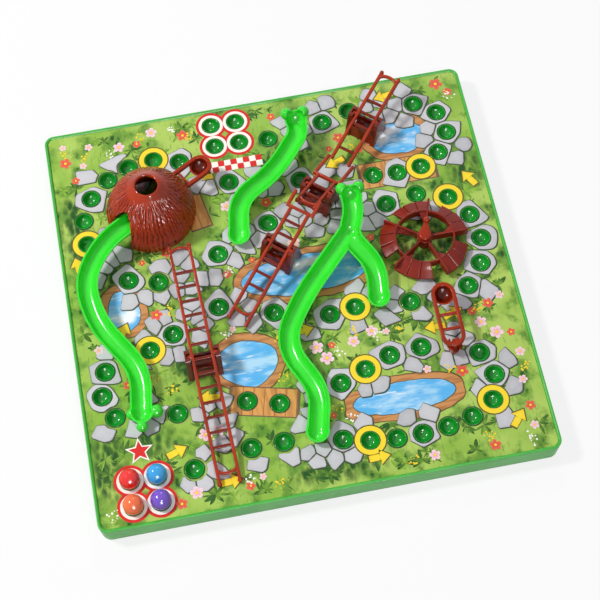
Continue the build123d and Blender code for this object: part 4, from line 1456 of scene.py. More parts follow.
@dataclass
class WaterWheel:
    """The finned wheel and its pointer.

    Attributes:
        x: middle across the board.
        y: middle along the board.
        bottom: level of its underside.
        depth: its height.
        ring: outer radius of its ring.
        reach: radius of its fins.
        fins: how many fins it has.
        sweep: angle of each blade in degrees.
        rim: thickness of the ring.
        hub: radius of the hub.
        bore: radius of the spindle's hole.
        cup: radius of the hub's wider mouth.
        fin: thickness of a fin.
        planks: planks of a blade.
        fall: how far a blade falls outwards.
        seam: depth of the seams between planks.
        web: radius at which a web starts.
    """

    x: float = 86.0
    y: float = 12.0
    bottom: float = 17.4
    depth: float = 6.0
    ring: float = 18.6
    reach: float = 27.0
    fins: int = 5
    sweep: float = 53.0
    rim: float = 1.3
    hub: float = 4.8
    bore: float = 2.1
    cup: float = 3.5
    fin: float = 1.4
    planks: float = 3.0
    fall: float = 4.6
    seam: float = 0.42
    web: float = 9.0

    def build(self) -> None:
        """Ring, hub, fins, plank blades and webs, then the pointer."""
        top = self.bottom + self.depth
        parts = [
            self._hoop(self.ring - self.rim, self.ring, self.bottom, top),
            self._hoop(self.bore, self.hub, self.bottom, top - 2.0),
            self._hoop(self.cup, self.hub, top - 2.3, top),
        ]
        for k in range(self.fins):
            turn = 360.0 / self.fins * k
            fin = bar(straight((4.2, 0, 0), (self.reach, 0, 0), 10), self.fin, self.depth, power=9.0)
            parts.append(fin.shifted(0, 0, self.bottom + self.depth / 2).turned("Z", turn))
            parts.append(self._blade(top).turned("Z", turn))
            parts.append(self._web().turned("Z", turn))
        wheel = Patch.join(parts).shifted(self.x, self.y, 0)
        Workshop.piece("wheel_blades", wheel, "wheel", "timber_brown", WHEEL_BROWN, ("water_wheel",), 35.0)
        knob = self._pointer().turned("Z", 360.0 / self.fins).shifted(self.x, self.y, top)
        Workshop.piece("wheel_pointer", knob, "wheel", "timber_brown", POINTER_RED, ("wheel_knob",), 60.0)

    @staticmethod
    def _hoop(inner: float, outer: float, low: float, high: float) -> Patch:
        """A ring with a rounded rectangular section, turned about the upright axis."""
        section = rounded_section(outer - inner, high - low, 8.0, 20)
        loop = section + np.array([(inner + outer) / 2, (low + high) / 2])
        return turned_solid(np.concatenate([loop, loop[:1]]), 96)

    def _blade(self, top: float) -> Patch:
        """A plank blade: a grid of radius and heading that falls outwards, with sunk seams in painted
        shade, and steps.
        """
        radius = np.linspace(self.ring - 0.8, self.reach, 10)[None, :]
        share = np.linspace(0, 1, 61)[:, None]
        heading = np.radians(self.sweep * share)
        fall = self.fall * (radius - self.ring) / (self.reach - self.ring)
        plank = np.floor(share * self.planks)
        off = np.abs(share * self.planks - np.round(share * self.planks))
        sunk = self.seam * np.exp(-((off / 0.045) ** 2)) * (share > 0.1) * (share < 0.9)
        high = top - 0.05 - fall - sunk - 0.18 * plank
        reach = radius * (1 + 0.012 * np.sin(2.3 * plank + 0.6) * (radius > self.ring + 3))
        lower = polar(reach, heading, top - 1.9 - fall)
        # Painted shade: the top face darkens along the sunk seams.
        return slab(polar(reach, heading, high), lower, 1.0 - sunk / self.seam)

    def _web(self) -> Patch:
        """A sloping web inside the ring: it rises from beside the hub to the ring, next to a fin."""
        radius = np.linspace(self.web, self.ring - 0.8, 8)[None, :]
        share = np.linspace(0, 1, 10)[:, None]
        heading = np.radians(2.0 + 15.0 * share * (radius - 6.0) / (self.ring - 6.8))
        rise = 0.8 + 3.0 * (radius - self.web) / (self.ring - 9.8)
        low = self.bottom + rise
        return slab(polar(radius, heading, low + 1.2), polar(radius, heading, low))

    @staticmethod
    def _pointer() -> Patch:
        """A teardrop with a round tip: half-oval sections carried along it, wide on the hub."""
        stations = np.array([
            (-4.2, 0.0, 0.0), (-4.0, 1.3, 2.3), (-3.2, 2.7, 3.0), (-1.6, 3.9, 3.3), (0.4, 4.15, 3.4),
            (2.6, 3.6, 3.4), (5.0, 2.5, 3.4), (7.0, 1.8, 3.4), (9.4, 1.6, 3.4), (10.6, 1.1, 3.2),
            (10.95, 0.5, 2.8), (11.0, 0.0, 0.0),
        ])
        line = smooth_line(stations, 56)
        line[:, 1:] = np.maximum(line[:, 1:], 0)
        round_it = np.linspace(0, np.pi, 25)[None, :]
        across = line[:, 1:2] * np.sign(np.cos(round_it)) * np.abs(np.cos(round_it)) ** 0.7
        rise = line[:, 2:] * np.sin(round_it) ** 0.5
        body = Patch.grid(np.stack([line[:, :1] + 0 * across, across, rise], -1), wrap_v=True)
        return Patch.join([body, ball_shape(2.1, 32).shifted(9.4, 0, 3.4)])


def arc_run(count: int, *points: Place) -> list[Place]:
    """Places spaced evenly along a straight line of two points or the circle through three.

    Args:
        count: how many places.
        points: the ends, with a middle point for an arc.

    Returns:
        The places.
    """
    if len(points) == 2:
        line = straight((*points[0], 0), (*points[1], 0), count)
        return [(float(x), float(y)) for x, y, _ in line]
    (ax, ay), (bx, by), (cx, cy) = points
    rows = 2 * np.array([[bx - ax, by - ay], [cx - ax, cy - ay]])
    right = np.array([bx**2 + by**2 - ax**2 - ay**2, cx**2 + cy**2 - ax**2 - ay**2])
    ox, oy = np.linalg.solve(rows, right)
    radius = math.hypot(ax - ox, ay - oy)
    angle = np.unwrap([math.atan2(y - oy, x - ox) for x, y in points])
    at = np.linspace(angle[0], angle[-1], count)
    return [(float(ox + radius * math.cos(t)), float(oy + radius * math.sin(t))) for t in at]


@dataclass
class Track:
    """Where the cups are, in playing order.

    Attributes:
        start: middle of the four start cups.
        finish: middle of the four finish cups.
        pitch: distance between the cups of such a group.
    """

    start: Place = (-105.2, -114.4)
    finish: Place = (-20.8, 115.2)
    pitch: float = 15.8

    def square(self, middle: Place) -> list[Place]:
        """The four cups of the start or finish group."""
        half = self.pitch / 2
        return [(middle[0] + sx * half, middle[1] + sy * half) for sy in (1, -1) for sx in (-1, 1)]

    def run(self) -> list[Place]:
        """The cups between the start and finish groups."""
        return [
            (-75.7, -106.5),
            *arc_run(2, (-41.3, -100.2), (-22.2, -100.0)),
            *arc_run(6, (11.8, -105.4), (50.0, -110.9), (88.3, -105.8)),
            *arc_run(3, (102.5, -97.7), (107.1, -82.6), (101.9, -66.7)),
            (68.7, -56.4),
            *arc_run(3, (49.3, -58.0), (17.4, -70.1)),
            *arc_run(2, (-20.2, -75.8), (-38.6, -70.6)),
            (-79.8, -70.5),
            *arc_run(3, (-116.0, -65.9), (-121.8, -51.7), (-118.0, -35.7)),
            *arc_run(2, (-89.8, -26.8), (-74.7, -19.0)),
            *arc_run(2, (-44.9, -6.4), (-12.8, -16.7)),
            *arc_run(2, (20.0, -24.5), (35.8, -22.5)),
            (69.1, -25.6),
            *arc_run(4, (105.7, -21.8), (119.8, 0.0), (118.2, 26.3)),
            *arc_run(3, (107.9, 41.3), (90.0, 47.3), (69.3, 44.0)),
            (-5.3, 45.2),
            (-39.3, 29.6),
            *arc_run(2, (-78.1, 17.6), (-95.8, 22.3)),
            *arc_run(4, (-117.4, 52.6), (-115.0, 77.0), (-98.9, 95.8)),
            *arc_run(3, (-85.0, 102.5), (-68.3, 104.9), (-52.6, 100.3)),
            (-24.2, 79.3),
            (20.0, 71.8),
            *arc_run(3, (65.5, 66.1), (80.8, 65.0), (96.2, 66.5)),
            *arc_run(4, (109.3, 74.7), (118.0, 95.0), (101.7, 113.4)),
            *arc_run(2, (59.8, 116.4), (41.7, 111.4)),
            (5.6, 106.0),
        ]

    def cups(self) -> list[Place]:
        """Every cup."""
        return [*self.square(self.start), *self.run(), *self.square(self.finish)]


class Layer(float, Enum):
    """Heights of the printed layers above the sheet, in millimetres."""

    GROUND = 0.020
    JOINT = 0.085
    STONE = 0.095
    PETAL = 0.100
    EDGE = 0.105
    SIGN = 0.115
    TOP = 0.130


@dataclass
class BoardPrint:
    """The printed motifs: cobbles along the track, signs, bushes, flowers and sprigs.

    Attributes:
        track: the cups' places.
        sheet: the sheet, whose ponds, planks, undergrowth and painted shadow under the wheel the motifs
            keep clear of.
        collar: radius of the sheet's hole round a cup.
        rim: radius of the dark line round a cup.
        ring: radii of a yellow ring and of its dark edge.
        pad: radii of a cream pad and of its red ring.
        tile: side of the chequer's tiles.
        pitch: distance between stones.
        shake: how far a stone is moved from its place on their grid.
        path: how far stones lie from the track's line.
        half: half the sheet's side.
        bushes: clumps of leaves that are tried, and the leaves of each.
        flowers: flowers at most.
        sprigs: sprigs at most, and the dots of each.
        seed: start of the repeatable random numbers.
        ringed: which cups of the run have a yellow ring.
        arrows: place and heading of each arrow.
    """

    track: Track
    sheet: MeadowSheet
    collar: float = 5.95
    rim: float = 6.3
    ring: Pair = (9.0, 9.8)
    pad: Pair = (7.85, 9.6)
    tile: float = 4.0
    pitch: float = 9.6
    shake: float = 2.4
    path: float = 13.0
    half: float = 133.0
    bushes: tuple[int, int] = (420, 11)
    flowers: int = 70
    sprigs: tuple[int, int] = (44, 11)
    seed: int = 7
    ringed: Sequence[int] = (4, 9, 14, 22, 27, 33, 40, 45, 51)
    arrows: Sequence[Triple] = (
        (-56, -118, 4), (30, -120, 2), (114, -112, 50), (80, -45, 178), (-60, -64, 170), (-104, -12, 60),
        (2, -32, 8), (92, -38, 20), (44, 80, 200), (-22, 52, 205), (-125, 38, 100), (-38, 88, -40),
        (84, 123, 190), (-84, -94, 20), (124, 52, 120),
    )
    random: np.random.Generator = field(init=False)
    cups: Array = field(init=False)
    line: Array = field(init=False)
    chequer: Deck = field(init=False)
    star: Place = field(init=False)

    def __post_init__(self) -> None:
        """Start the random numbers, and place what is set out from the track."""
        self.random = np.random.default_rng(self.seed)
        self.cups = np.array(self.track.cups())
        self.line = smooth_line(self.track.run(), 1600)
        x, y = self.track.finish
        self.chequer = Deck(x, y - 23.5, 5 * self.tile, self.tile, 0.0)
        self.star = (self.track.start[0], self.track.start[1] + 25.0)

    def build(self) -> None:
        """Print every motif."""
        self._cobbles()
        self._signs()
        self._start_and_finish()
        self._bushes()
        self._flowers()
        self._sprigs()

    @staticmethod
    def _print(name: str, patches: Sequence[Patch], finish: PrintedInk) -> None:
        """Put printed shapes on the sheet as one piece."""
        Workshop.piece(name, Patch.join(patches), BOARD, "printed_sheet", finish, skin=Skin.FLAT)

    @staticmethod
    def blot(
        middle: Sequence[float], outline: Array, height: float, tones: Sequence[float] = (0.6, 0.6),
        rings: Sequence[Array | float] = (1.0, 0.0), lean: Sequence[float] = (0.0, 0.0),
    ) -> Patch:
        """A flat shape round a middle: its outline times a factor for each ring, from the edge inwards.

        Args:
            middle: place on the board.
            outline: rows of offsets from the middle.
            height: height of the print above the sheet.
            tones: a tone for each ring.
            rings: the factor of each ring, or one for each point of it.
            lean: how far the innermost ring is moved from the middle.

        Returns:
            The flat shape.
        """
        factor = np.stack([np.broadcast_to(ring, len(outline)) for ring in rings])[..., None]
        moved = np.linspace(0, 1, len(factor))[:, None, None] ** 2 * np.asarray(lean)
        flat = outline[None] * factor + moved + np.asarray(middle)
        z = np.full((*flat.shape[:2], 1), SHEET_TOP + height)
        tone = np.asarray(tones, float)[:, None]
        return Patch.grid(np.concatenate([flat, z], -1), wrap_v=True, tone=tone)

    @classmethod
    def annulus(
        cls, middle: Place, inner: float, outer: float, height: float, tone: float = 0.5,
    ) -> Patch:
        """A flat ring round a cup."""
        return cls.blot(middle, circle(48), height, (tone, tone), (outer, inner))

    @staticmethod
    def _away(spots: Array, targets: Array) -> Array:
        """Distance of each spot from the nearest of some targets."""
        return np.min(np.linalg.norm(spots[:, None] - targets[None], axis=-1), axis=1)

    def _free(self, count: int, margin: float, spacing: float) -> Array:
        """Random spots on free grass: off the track, the signs, the ponds, the planks, the undergrowth and
        the painted shadow under the wheel.

        Args:
            count: how many spots to try.
            margin: room that a motif needs round its spot.
            spacing: least distance between two spots.

        Returns:
            The spots that are free.
        """
        within = self.half - 6.0 - margin / 2
        spots = self.random.uniform(-within, within, (count, 2))
        signs = np.array([self.star, *[mark[:2] for mark in self.arrows]])
        free = np.ones(len(spots), bool)
        for targets, room in ((self.line, 12.0), (self.cups, 9.0), (signs, 8.0)):
            free &= self._away(spots, targets) > room + margin
        for area in (*self.sheet.ponds, *self.sheet.decks, *self.sheet.thickets_and_shade, self.chequer):
            free &= ~area.holds(spots, 5.0 + margin)
        spots = spots[free]
        gaps = np.linalg.norm(spots[:, None] - spots[None], axis=-1) < spacing
        return spots[~np.any(np.tril(gaps, -1), axis=1)]

    def _cobbles(self) -> None:
        """Angular stones on a shaken hexagonal grid along the track, and slabs round most of the cups."""
        slab_share, gap_share = 0.6, 0.22
        cup_room, slab_room, group_room, plank_room = 9.2, 11.4, 23.0, 3.0
        run = np.array(self.track.run())
        plain = np.array([k not in self.ringed for k in range(len(run))])
        slabs = run[plain & (self.random.uniform(size=len(run)) < slab_share)]
        row, column = np.meshgrid(np.arange(-16, 17), np.arange(-14, 14), indexing="ij")
        across = (column + 0.5 + 0.5 * (row % 2)) * self.pitch
        seeds = np.stack([across, row * self.pitch * 0.87], -1).reshape(-1, 2)
        seeds = seeds + self.random.uniform(-self.shake, self.shake, seeds.shape)
        kept = (self._away(seeds, self.line) < self.path) & (self._away(seeds, self.cups) > cup_room)
        kept &= self._away(seeds, slabs) > slab_room
        kept &= np.max(np.abs(seeds), axis=1) < self.half - 6.0
        kept &= self.random.uniform(size=len(seeds)) > gap_share
        for middle in (self.track.start, self.track.finish):
            kept &= np.max(np.abs(seeds - np.array(middle)), axis=1) > group_room
        for deck in self.sheet.decks:
            kept &= ~deck.holds(seeds, plank_room)
        seeds = np.concatenate([seeds[kept], slabs])
        holes = np.where(np.arange(len(seeds)) < len(seeds) - len(slabs), 0.0, self.collar)
        ray = circle(36)
        reach = self._reach(seeds, ray, holes)
        bright = self.random.uniform(0.7, 1.0, len(seeds))
        shadow = np.array([0.3, -0.25])
        stones, joints = [], []
        for k, (seed, far, light, hole) in enumerate(zip(seeds, reach, bright, holes)):
            under = Layer.JOINT + 0.0007 * (k % 12)
            stones.append(self._stone(seed, ray, far, hole, light))
            outline = (far + 0.55, np.full_like(far, hole + 0.5 if hole else 0.0))
            joints.append(self.blot(seed + shadow, ray, under, (0.3, 0.3), outline))
        self._print("print_cobbles", stones, STONE_GREY)
        rims = [self.annulus(cup, self.collar - 0.1, self.rim, Layer.PETAL, 0.1) for cup in self.cups]
        self._print("print_joints", joints + rims, JOINT_GREY)

    def _stone(self, seed: Array, ray: Array, far: Array, hole: float, light: float) -> Patch:
        """One stone: rings between its hole, if it has one, and its outline, dark at the outline.

        Args:
            seed: its middle.
            ray: unit vectors round it.
            far: how far it reaches along each of them.
            hole: radius of the cup in it, or nothing.
            light: how pale it is.

        Returns:
            The flat stone, whose palest point leans to the light where it has no hole.
        """
        share = np.array([1.0, 0.9, 0.45, 0.0])
        rings = [hole + (far - hole) * s for s in share]
        lean = (0.0, 0.0) if hole else 0.2 * np.mean(far) * np.array([-0.6, 0.8])
        tones = light * np.array([0.5, 0.84, 0.92, 1.0])
        return self.blot(seed, ray, Layer.STONE + 0.001, tones, rings, lean)

    def _reach(self, seeds: Array, ray: Array, holes: Array) -> Array:
        """How far each stone reaches along each ray.

        It is a soft least, (sum of limit^-24)^(-1/24), of the straight border with each other stone, the
        way to each cup's edge and the sheet's edge, and six sides of its own, so that corners are blunt.

        Args:
            seeds: the stones' middles.
            ray: unit vectors round a stone.
            holes: radius of the cup in each stone, or nothing.

        Returns:
            A row of distances for each stone.
        """
        no_limit, slant, sides = 99.0, 0.05, 6
        step = seeds[None] - seeds[:, None]
        far = np.linalg.norm(step, axis=-1)[..., None]
        weight = np.where(holes > 0, 8.2, 5.0)
        share = (weight[:, None] / (weight[:, None] + weight[None]))[..., None]
        lean = step @ ray.T / np.maximum(far, 0.1)
        border = np.where(lean > slant, share * far / np.maximum(lean, slant), no_limit)
        to_cup = self.cups[None] - seeds[:, None]
        ahead = to_cup @ ray.T
        chord = (self.collar + 1.2) ** 2 - np.sum(to_cup**2, -1)[..., None] + ahead**2
        clear = ahead - np.sqrt(np.maximum(chord, 0))
        hit = np.where((ahead > 0.1) & (chord > 0) & (clear > 0.1), clear, no_limit)
        edge = (self.half - 1.0 - np.abs(seeds))[:, :, None] * np.ones(len(ray))
        turn = np.linspace(0, 2 * np.pi, sides, endpoint=False)
        turn = turn + self.random.uniform(-0.6, 0.6, (len(seeds), sides))
        facing = np.stack([np.cos(turn), np.sin(turn)], -1) @ ray.T
        size = self.random.uniform(4.4, 7.4, (len(seeds), sides)) + np.where(holes > 0, 3.2, 0.0)[:, None]
        side = np.where(facing > slant, size[..., None] / np.maximum(facing, slant), no_limit)
        limits = np.maximum(np.concatenate([border, hit, edge, side], 1), 0.4)
        return np.sum(limits**-24.0, 1) ** (-1 / 24) - 0.4

    def _signs(self) -> None:
        """Yellow rings round some cups, and yellow arrows beside the track."""
        rings, edges = [], []
        run = self.track.run()
        for k in self.ringed:
            rings.append(self.annulus(run[k], self.collar, self.ring[0], Layer.SIGN, 0.7))
            edges.append(self.annulus(run[k], self.collar, self.ring[1], Layer.EDGE))
        corners = [(-6, -2), (0.5, -2), (0.5, -4.6), (6.4, 0), (0.5, 4.6), (0.5, 2), (-6, 2), (-6, 0)]
        arrow = np.array(corners, float)
        for x, y, turn in self.arrows:
            c, s = turn_parts(turn)
            outline = arrow @ np.array([[c, s], [-s, c]])
            rings.append(self.blot((x, y), outline, Layer.SIGN, (0.6, 0.9)))
            edges.append(self.blot((x, y), outline * 1.18, Layer.EDGE))
        self._print("print_signs", rings, SIGN_YELLOW)
        self._print("print_sign_edges", edges, SIGN_EDGE)

    def _start_and_finish(self) -> None:
        """Cream pads with red rings at the start and finish, a star by one and a chequer by the other."""
        pads, red = [], []
        for middle in (self.track.start, self.track.finish):
            for k, cup in enumerate(self.track.square(middle)):
                pads.append(self.annulus(cup, self.collar, self.pad[0], Layer.SIGN + 0.001 * k))
                red.append(self.annulus(cup, self.collar, self.pad[1], Layer.STONE + 0.001 * k))
        half = self.tile / 2
        tile = half * np.array([(-1, -1), (1, -1), (1, 1), (-1, 1)], float)
        for row in range(2):
            for column in range(10):
                x = self.chequer.x + (column - 4.5) * self.tile
                y = self.chequer.y + half - row * self.tile
                target = red if (row + column) % 2 else pads
                target.append(self.blot((x, y), tile, Layer.SIGN))
        turn = np.linspace(0, 2 * np.pi, 10, endpoint=False)
        size = np.where(np.arange(10) % 2 == 0, 6.6, 2.9)[:, None]
        star = size * np.stack([np.sin(turn), np.cos(turn)], -1)
        red.append(self.blot(self.star, star, Layer.SIGN))
        pads.append(self.blot(self.star, star * 1.3, Layer.EDGE))
        self._print("print_pads", pads, CREAM_WHITE)
        self._print("print_red", red, FLAG_RED)

    def _bushes(self) -> None:
        """Clumps of pointed leaves: lens shapes that fan out under the stones, the light ones on top."""
        t = np.concatenate([np.linspace(0, 1, 7), np.linspace(1, 0, 7)[1:-1]])
        side_of = np.where(np.arange(len(t)) < 7, 1, -1)
        clumps, per_clump = self.bushes
        within = self.half - 4.0
        leaves = []
        for spot in self.random.uniform(-within, within, (clumps, 2)):
            size = self.random.uniform(4.0, 9.5)
            thick = self.random.uniform(0.07, 0.18)
            shade = self.random.choice([0.0, 0.08, 0.2, 0.5])
            for k, way in enumerate(self.random.uniform(0, 2 * np.pi, per_clump)):
                length = size * self.random.uniform(0.7, 1.15) * (1 - 0.04 * k)
                tip = np.array([math.cos(way), math.sin(way)])
                lens = side_of * thick * np.sin(np.pi * t) ** 0.8
                outline = length * ((t - 0.5)[:, None] * tip + lens[:, None] * np.array([-tip[1], tip[0]]))
                middle = spot + tip * length * 0.5
                height = Layer.GROUND + 0.0006 * (len(leaves) % 100)
                tone = shade + 0.045 * k
                if self._on_grass(outline + middle):
                    leaves.append(self.blot(middle, outline, height, (tone, tone + 0.12)))
        self._print("print_leaves", leaves, LEAF_GREEN)

    def _on_grass(self, spots: Array) -> bool:
        """Whether spots all lie on the sheet, off its cups, ponds and planks."""
        inside = np.max(np.abs(spots)) < self.half - 1.5
        inside = inside and np.min(self._away(spots, self.cups)) > self.collar + 0.2
        wet = any(np.any(pond.holds(spots, 5.5)) for pond in self.sheet.ponds)
        planked = any(np.any(deck.holds(spots, 0.5)) for deck in self.sheet.decks)
        return bool(inside and not wet and not planked)

    def _flowers(self) -> None:
        """Five-petalled red and pink flowers with yellow middles."""
        angle = np.linspace(0, 2 * np.pi, 30, endpoint=False)
        disc = circle(30)
        petals = (0.58 + 0.42 * np.abs(np.cos(2.5 * angle)) ** 0.55)[:, None] * disc
        reds, pinks, middles = [], [], []
        for k, spot in enumerate(self._free(2400, 2.0, 8.0)[:self.flowers]):
            size = self.random.uniform(2.2, 4.4)
            turn = self.random.uniform(0, 6)
            twist = np.array([[math.cos(turn), math.sin(turn)], [-math.sin(turn), math.cos(turn)]])
            target = (reds, pinks)[k % 2]
            shape = petals @ twist * size
            target.append(self.blot(spot, shape, Layer.PETAL, (1.0, 0.6, 0.1), (1.0, 0.5, 0.0)))
            middles.append(self.blot(spot, disc[::3] * size * 0.24, Layer.TOP))
        self._print("print_red_flowers", reds, PETAL_RED)
        self._print("print_pink_flowers", pinks, PETAL_PINK)
        self._print("print_flower_middles", middles, SIGN_YELLOW)

    def _sprigs(self) -> None:
        """Sprigs of small yellow and white dots, scattered round a spot."""
        disc = circle(7)
        most, dots = self.sprigs
        yellow, white = [], []
        for k, spot in enumerate(self._free(1500, 1.0, 10.0)[:most]):
            target = white if k % 3 == 0 else yellow
            for dot in spot + self.random.normal(0, 1.9, (dots, 2)):
                if np.max(np.abs(dot)) < self.half - 2.0:
                    size = self.random.uniform(0.35, 0.75)
                    target.append(self.blot(dot, disc * size, Layer.TOP + 0.0015 * (len(target) % 9)))
        self._print("print_yellow_sprigs", yellow, SIGN_YELLOW)
        self._print("print_white_sprigs", white, CREAM_WHITE)


@dataclass
class Cups:
    """Smooth linings of the cups with rounded lips.

    Attributes:
        places: the cups' middles.
        mouth: radius of the bowl at its top.
        depth: depth of the bowl.
        lip: height of the lip above the sheet.
    """

    places: Sequence[Place]
    mouth: float = 5.2
    depth: float = 4.8
    lip: float = 0.33

    def build(self) -> None:
        """Turn one lining, a part of a ball's inside with a rounded lip, and set it in every cup."""
        round_r = (self.mouth**2 + self.depth**2) / (2 * self.depth)
        low = math.asin(min(self.mouth / round_r, 1.0))
        angle = np.linspace(low, 0.0, 18)
        top = self.lip - 0.1 + round_r * math.cos(low)
        bowl = np.stack([round_r * np.sin(angle), top - round_r * np.cos(angle)], -1)
        lip = [[5.76, -0.1], [5.76, 0.2], [5.66, self.lip], [5.45, self.lip + 0.05], [5.28, self.lip]]
        # Painted shade: the lip is darkened so that it shows no bright ring, and the bowl darkens towards
        # its bottom.
        tone = np.concatenate([np.full(len(lip), 0.1), np.linspace(0.5, 0.3, len(bowl))])[:, None]
        one = turned_solid(np.concatenate([lip, bowl]), 40, tone)
        linings = [one.shifted(x, y, SHEET_TOP) for x, y in self.places]
        shape = Patch.join(linings)
        Workshop.piece("cup_linings", shape, BOARD, "tray_green", CUP_GREEN, crease=70.0)


@dataclass
class Balls:
    """The playing balls in the start cups: their places, radius and the height of their middles."""

    places: Sequence[Place]
    radius: float = 6.0
    level: float = 17.693

    def build(self) -> None:
        """Make each ball with its own colour."""
        for (name, finish), (x, y) in zip(BALLS.items(), self.places):
            node = name + "_ball"
            shape = ball_shape(self.radius, 64).shifted(x, y, self.level)
            Workshop.piece(node + "_gloss", shape, node + "_piece", "ball_" + name, finish, (node,), 90.0)


def aimed(right: Array, up: Array, back: Array, place: Array) -> Matrix:
    """The matrix of a lamp or camera at a place, from its own right, up and back."""
    turn = np.eye(4)
    turn[:3] = np.stack([right, up, back, place], 1)
    return Matrix(turn.tolist())


@dataclass(frozen=True)
class Lamp:
    """A square soft lamp aimed at the board.

    Attributes:
        name: the lamp's name.
        place: its place in metres.
        size: its side in metres.
        power: its power in watts.
        lights: whether it lights surfaces, or is only seen in gloss.
    """

    name: str
    place: Triple
    size: float
    power: float
    lights: bool = True

    def build(self) -> None:
        """Set the lamp up."""
        light = bpy.data.lights.new(self.name, "AREA")
        light.shape = "SQUARE"
        light.size = self.size
        light.energy = self.power
        back = unit(np.array(self.place))
        right = unit(np.cross([0, 0, 1], back))
        lamp = placed(self.name, light)
        lamp.matrix_world = aimed(right, np.cross(back, right), back, np.array(self.place))
        lamp.visible_diffuse = self.lights


@dataclass
class Studio:
    """Floor, light and camera.

    Attributes:
        eye: the camera's place in millimetres.
        azimuth: the camera's heading round the object in radians.
        elevation: its height angle in radians.
        roll: its turn about the line of sight in radians.
        lens: focal length in millimetres.
        sensor: width of the sensor in millimetres.
        ambient: colour of the light from all round.
        floor: half the floor's side in millimetres.
        lamps: the lamps.
    """

    eye: Triple = (-58.254, -449.519, 877.20)
    azimuth: float = -0.141212
    elevation: float = 1.096938
    roll: float = -0.052124
    lens: float = 96.35
    sensor: float = 36.0
    ambient: Colour = (0.28, 0.28, 0.29)
    floor: float = 4000.0
    lamps: Sequence[Lamp] = (
        Lamp("key_softbox", (-0.95, 0.32, 1.25), 0.24, 17.5),
        Lamp("fill_softbox", (0.15, -0.9, 1.2), 0.14, 3.8),
        Lamp("glint_card", (0.0, -1.3, 0.75), 0.6, 24.0, False),
        Lamp("back_softbox", (0.25, 1.2, 1.0), 0.25, 3.2),
    )

    def build(self) -> None:
        """Set up the view transform, floor, world, lamps and camera."""
        bpy.context.scene.view_settings.view_transform = "Standard"
        self._floor()
        self._world()
        for lamp in self.lamps:
            lamp.build()
        self._camera()

    def _floor(self) -> None:
        """A wide pale floor under the tray."""
        edge = np.array([-self.floor, self.floor])
        x, y = np.meshgrid(edge, edge, indexing="ij")
        mesh = Workshop.mesh("studio_floor", Patch.grid(np.stack([x, y, 0 * x], -1)), Skin.FLAT)
        mesh.materials.append(StudioWhite().material())
        floor = placed("studio_floor", mesh)

    def _world(self) -> None:
        """White to the camera and in reflections, and a soft grey light on the object."""
        world = bpy.data.worlds.new("studio_world")
        world.use_nodes = True
        g = Graph(world.node_tree)
        colour = g.mix(g.seen(), self.ambient, WHITE)
        back = g.node("ShaderNodeBackground", None, {"Color": colour, "Strength": 1.0})
        g.node("ShaderNodeOutputWorld", None, {"Surface": g.out(back)})
        bpy.context.scene.world = world

    def _camera(self) -> None:
        """The camera at the photograph's viewing angle."""
        ca, sa = math.cos(self.azimuth), math.sin(self.azimuth)
        ce, se = math.cos(self.elevation), math.sin(self.elevation)
        back = np.array([sa * ce, -ca * ce, se])
        right = np.array([ca, sa, 0.0])
        up = np.cross(back, right)
        cr, sr = math.cos(self.roll), math.sin(self.roll)
        data = bpy.data.cameras.new("photo_camera")
        data.sensor_width = self.sensor
        data.lens = self.lens
        data.clip_start = 0.01
        camera = placed("photo_camera", data)
        place = np.array(self.eye) * MM
        camera.matrix_world = aimed(cr * right + sr * up, -sr * right + cr * up, back, place)
        bpy.context.scene.camera = camera


def lobes(route: Sequence[Place]) -> list[tuple[float, float, float, float]]:
    """Two round lobes at the corners of a snake's high head.

    Args:
        route: the snake's route, from its head.

    Returns:
        Places, heights above the sheet and radii.
    """
    ahead = unit(np.subtract(route[0], route[1]))
    left = np.array([-ahead[1], ahead[0]])
    forward, aside, height, radius = 4.6, 5.2, 19.4, 3.8
    spots = [np.array(route[0]) + forward * ahead + side * aside * left for side in (1, -1)]
    return [(float(x), float(y), height, radius) for x, y in spots]


def snakes() -> list[Snake]:
    """The three snakes of the board."""
    upper = [(23.8, 104.6), (23.5, 95.4), (5, 74), (-21, 60), (-24.5, 37.5)]
    left = [(-76, 60), (-107, 43), (-122, 20), (-118, -8), (-97, -42), (-100.3, -68)]
    right = [(46.7, 43.8), (46, 33), (40, 19), (52.5, -2), (50.5, -21.3)]
    long = [(42, 23), (6, -14), (-12, -42), (4, -76), (-2.1, -99.8)]
    low_head = [(-91.7, -68.3, 4.3, 4.0), (-105.7, -67.6, 4.3, 3.6), (-101.2, -76.2, 4.3, 3.4)]
    high, low, joined = 18.5, 7.0, 13.6
    tall, short = 13.2, 3.5
    runs = {"upper": (upper, lobes(upper)), "left": (left, low_head), "fork": (right, lobes(right))}
    made = []
    for name, (route, lumps) in runs.items():
        posts = [(*route[0], tall), (*route[-1], short)]
        made.append(Snake("snake_" + name, [Trough(route, high, low)], lumps, posts))
    made[-1].troughs.append(Trough(long, joined, low, HeadEnd.JOINED))
    made[-1].posts.append((*long[-1], short))
    return made


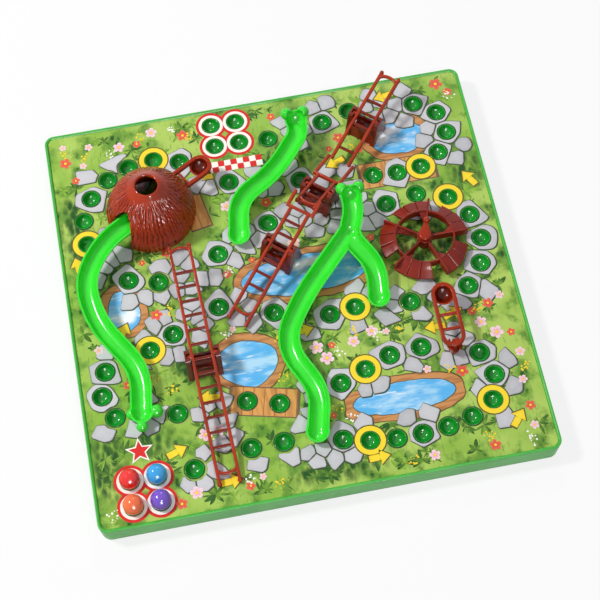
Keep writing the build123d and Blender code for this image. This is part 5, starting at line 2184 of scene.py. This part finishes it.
def ladders() -> list[Ladder]:
    """The four seesaw ladders of the board."""
    heading = 48.9
    x, y = -2.0, 19.6
    c, s = turn_parts(heading)
    steps = {"lower": 0.0, "middle": 46.4, "upper": 105.7}
    at = {name: (x + step * c, y + step * s, heading) for name, step in steps.items()}
    left_rungs = [k * 9 - 2 for k in range(-6, 7)]
    lower_rungs = [k * 9 - 2 for k in range(-3, 4)]
    return [
        Ladder("left", -59.7, -42.8, 92.0, 9.69, 78.5, 69.5, left_rungs, [(-68.5, -1), (64.1, 1)]),
        Ladder("lower", *at["lower"], 14.33, 53.5, 25.0, lower_rungs, [(-43.5, -1)], 10.5),
        Ladder("middle", *at["middle"], -15.0, 17.0, 10.6, [-7.4, 1.6, 10.6], [(-11.6, -1)], 18.4),
        Ladder("upper", *at["upper"], 11.0, 33.6, 33.0, [-24.4, -6.4, 2.6, 11.6], [(27.6, 1)]),
    ]


def main() -> None:
    """Build every sub-assembly in order."""
    logging.basicConfig(level=logging.INFO, format="%(message)s")
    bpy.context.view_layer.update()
    track = Track()
    Studio().build()
    Workshop.carried("base_tray", BOARD, "tray_green", TRAY_GREEN)
    meadow = MeadowSheet()
    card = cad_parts["board_sheet"].data
    card.materials.clear()
    card.materials.append(meadow.material())
    LOG.info("board_sheet: printed with %s", meadow.name)
    BoardPrint(track, meadow).build()
    Cups(track.cups()).build()
    for snake in snakes():
        snake.build()
    Hut().build()
    for ladder in ladders():
        ladder.build()
        Workshop.carried("trestle_" + ladder.name, BOARD, "timber_brown", TRESTLE_BROWN, 0.4)
    for catapult in (
        Catapult("right_catapult", 87.2, -62.3, 89.8),
        Catapult("hut_catapult", -68.2, 71.6, 28.0),
    ):
        catapult.build()
        Workshop.carried(catapult.name + "_foot", BOARD, "timber_brown", TIMBER_BROWN)
    WaterWheel().build()
    for node in ("wheel_spindle", "wheel_retainer"):
        Workshop.carried(node, BOARD, "timber_brown", TIMBER_BROWN)
    Balls(track.square(track.start)).build()


if __name__ == "__main__":
    main()
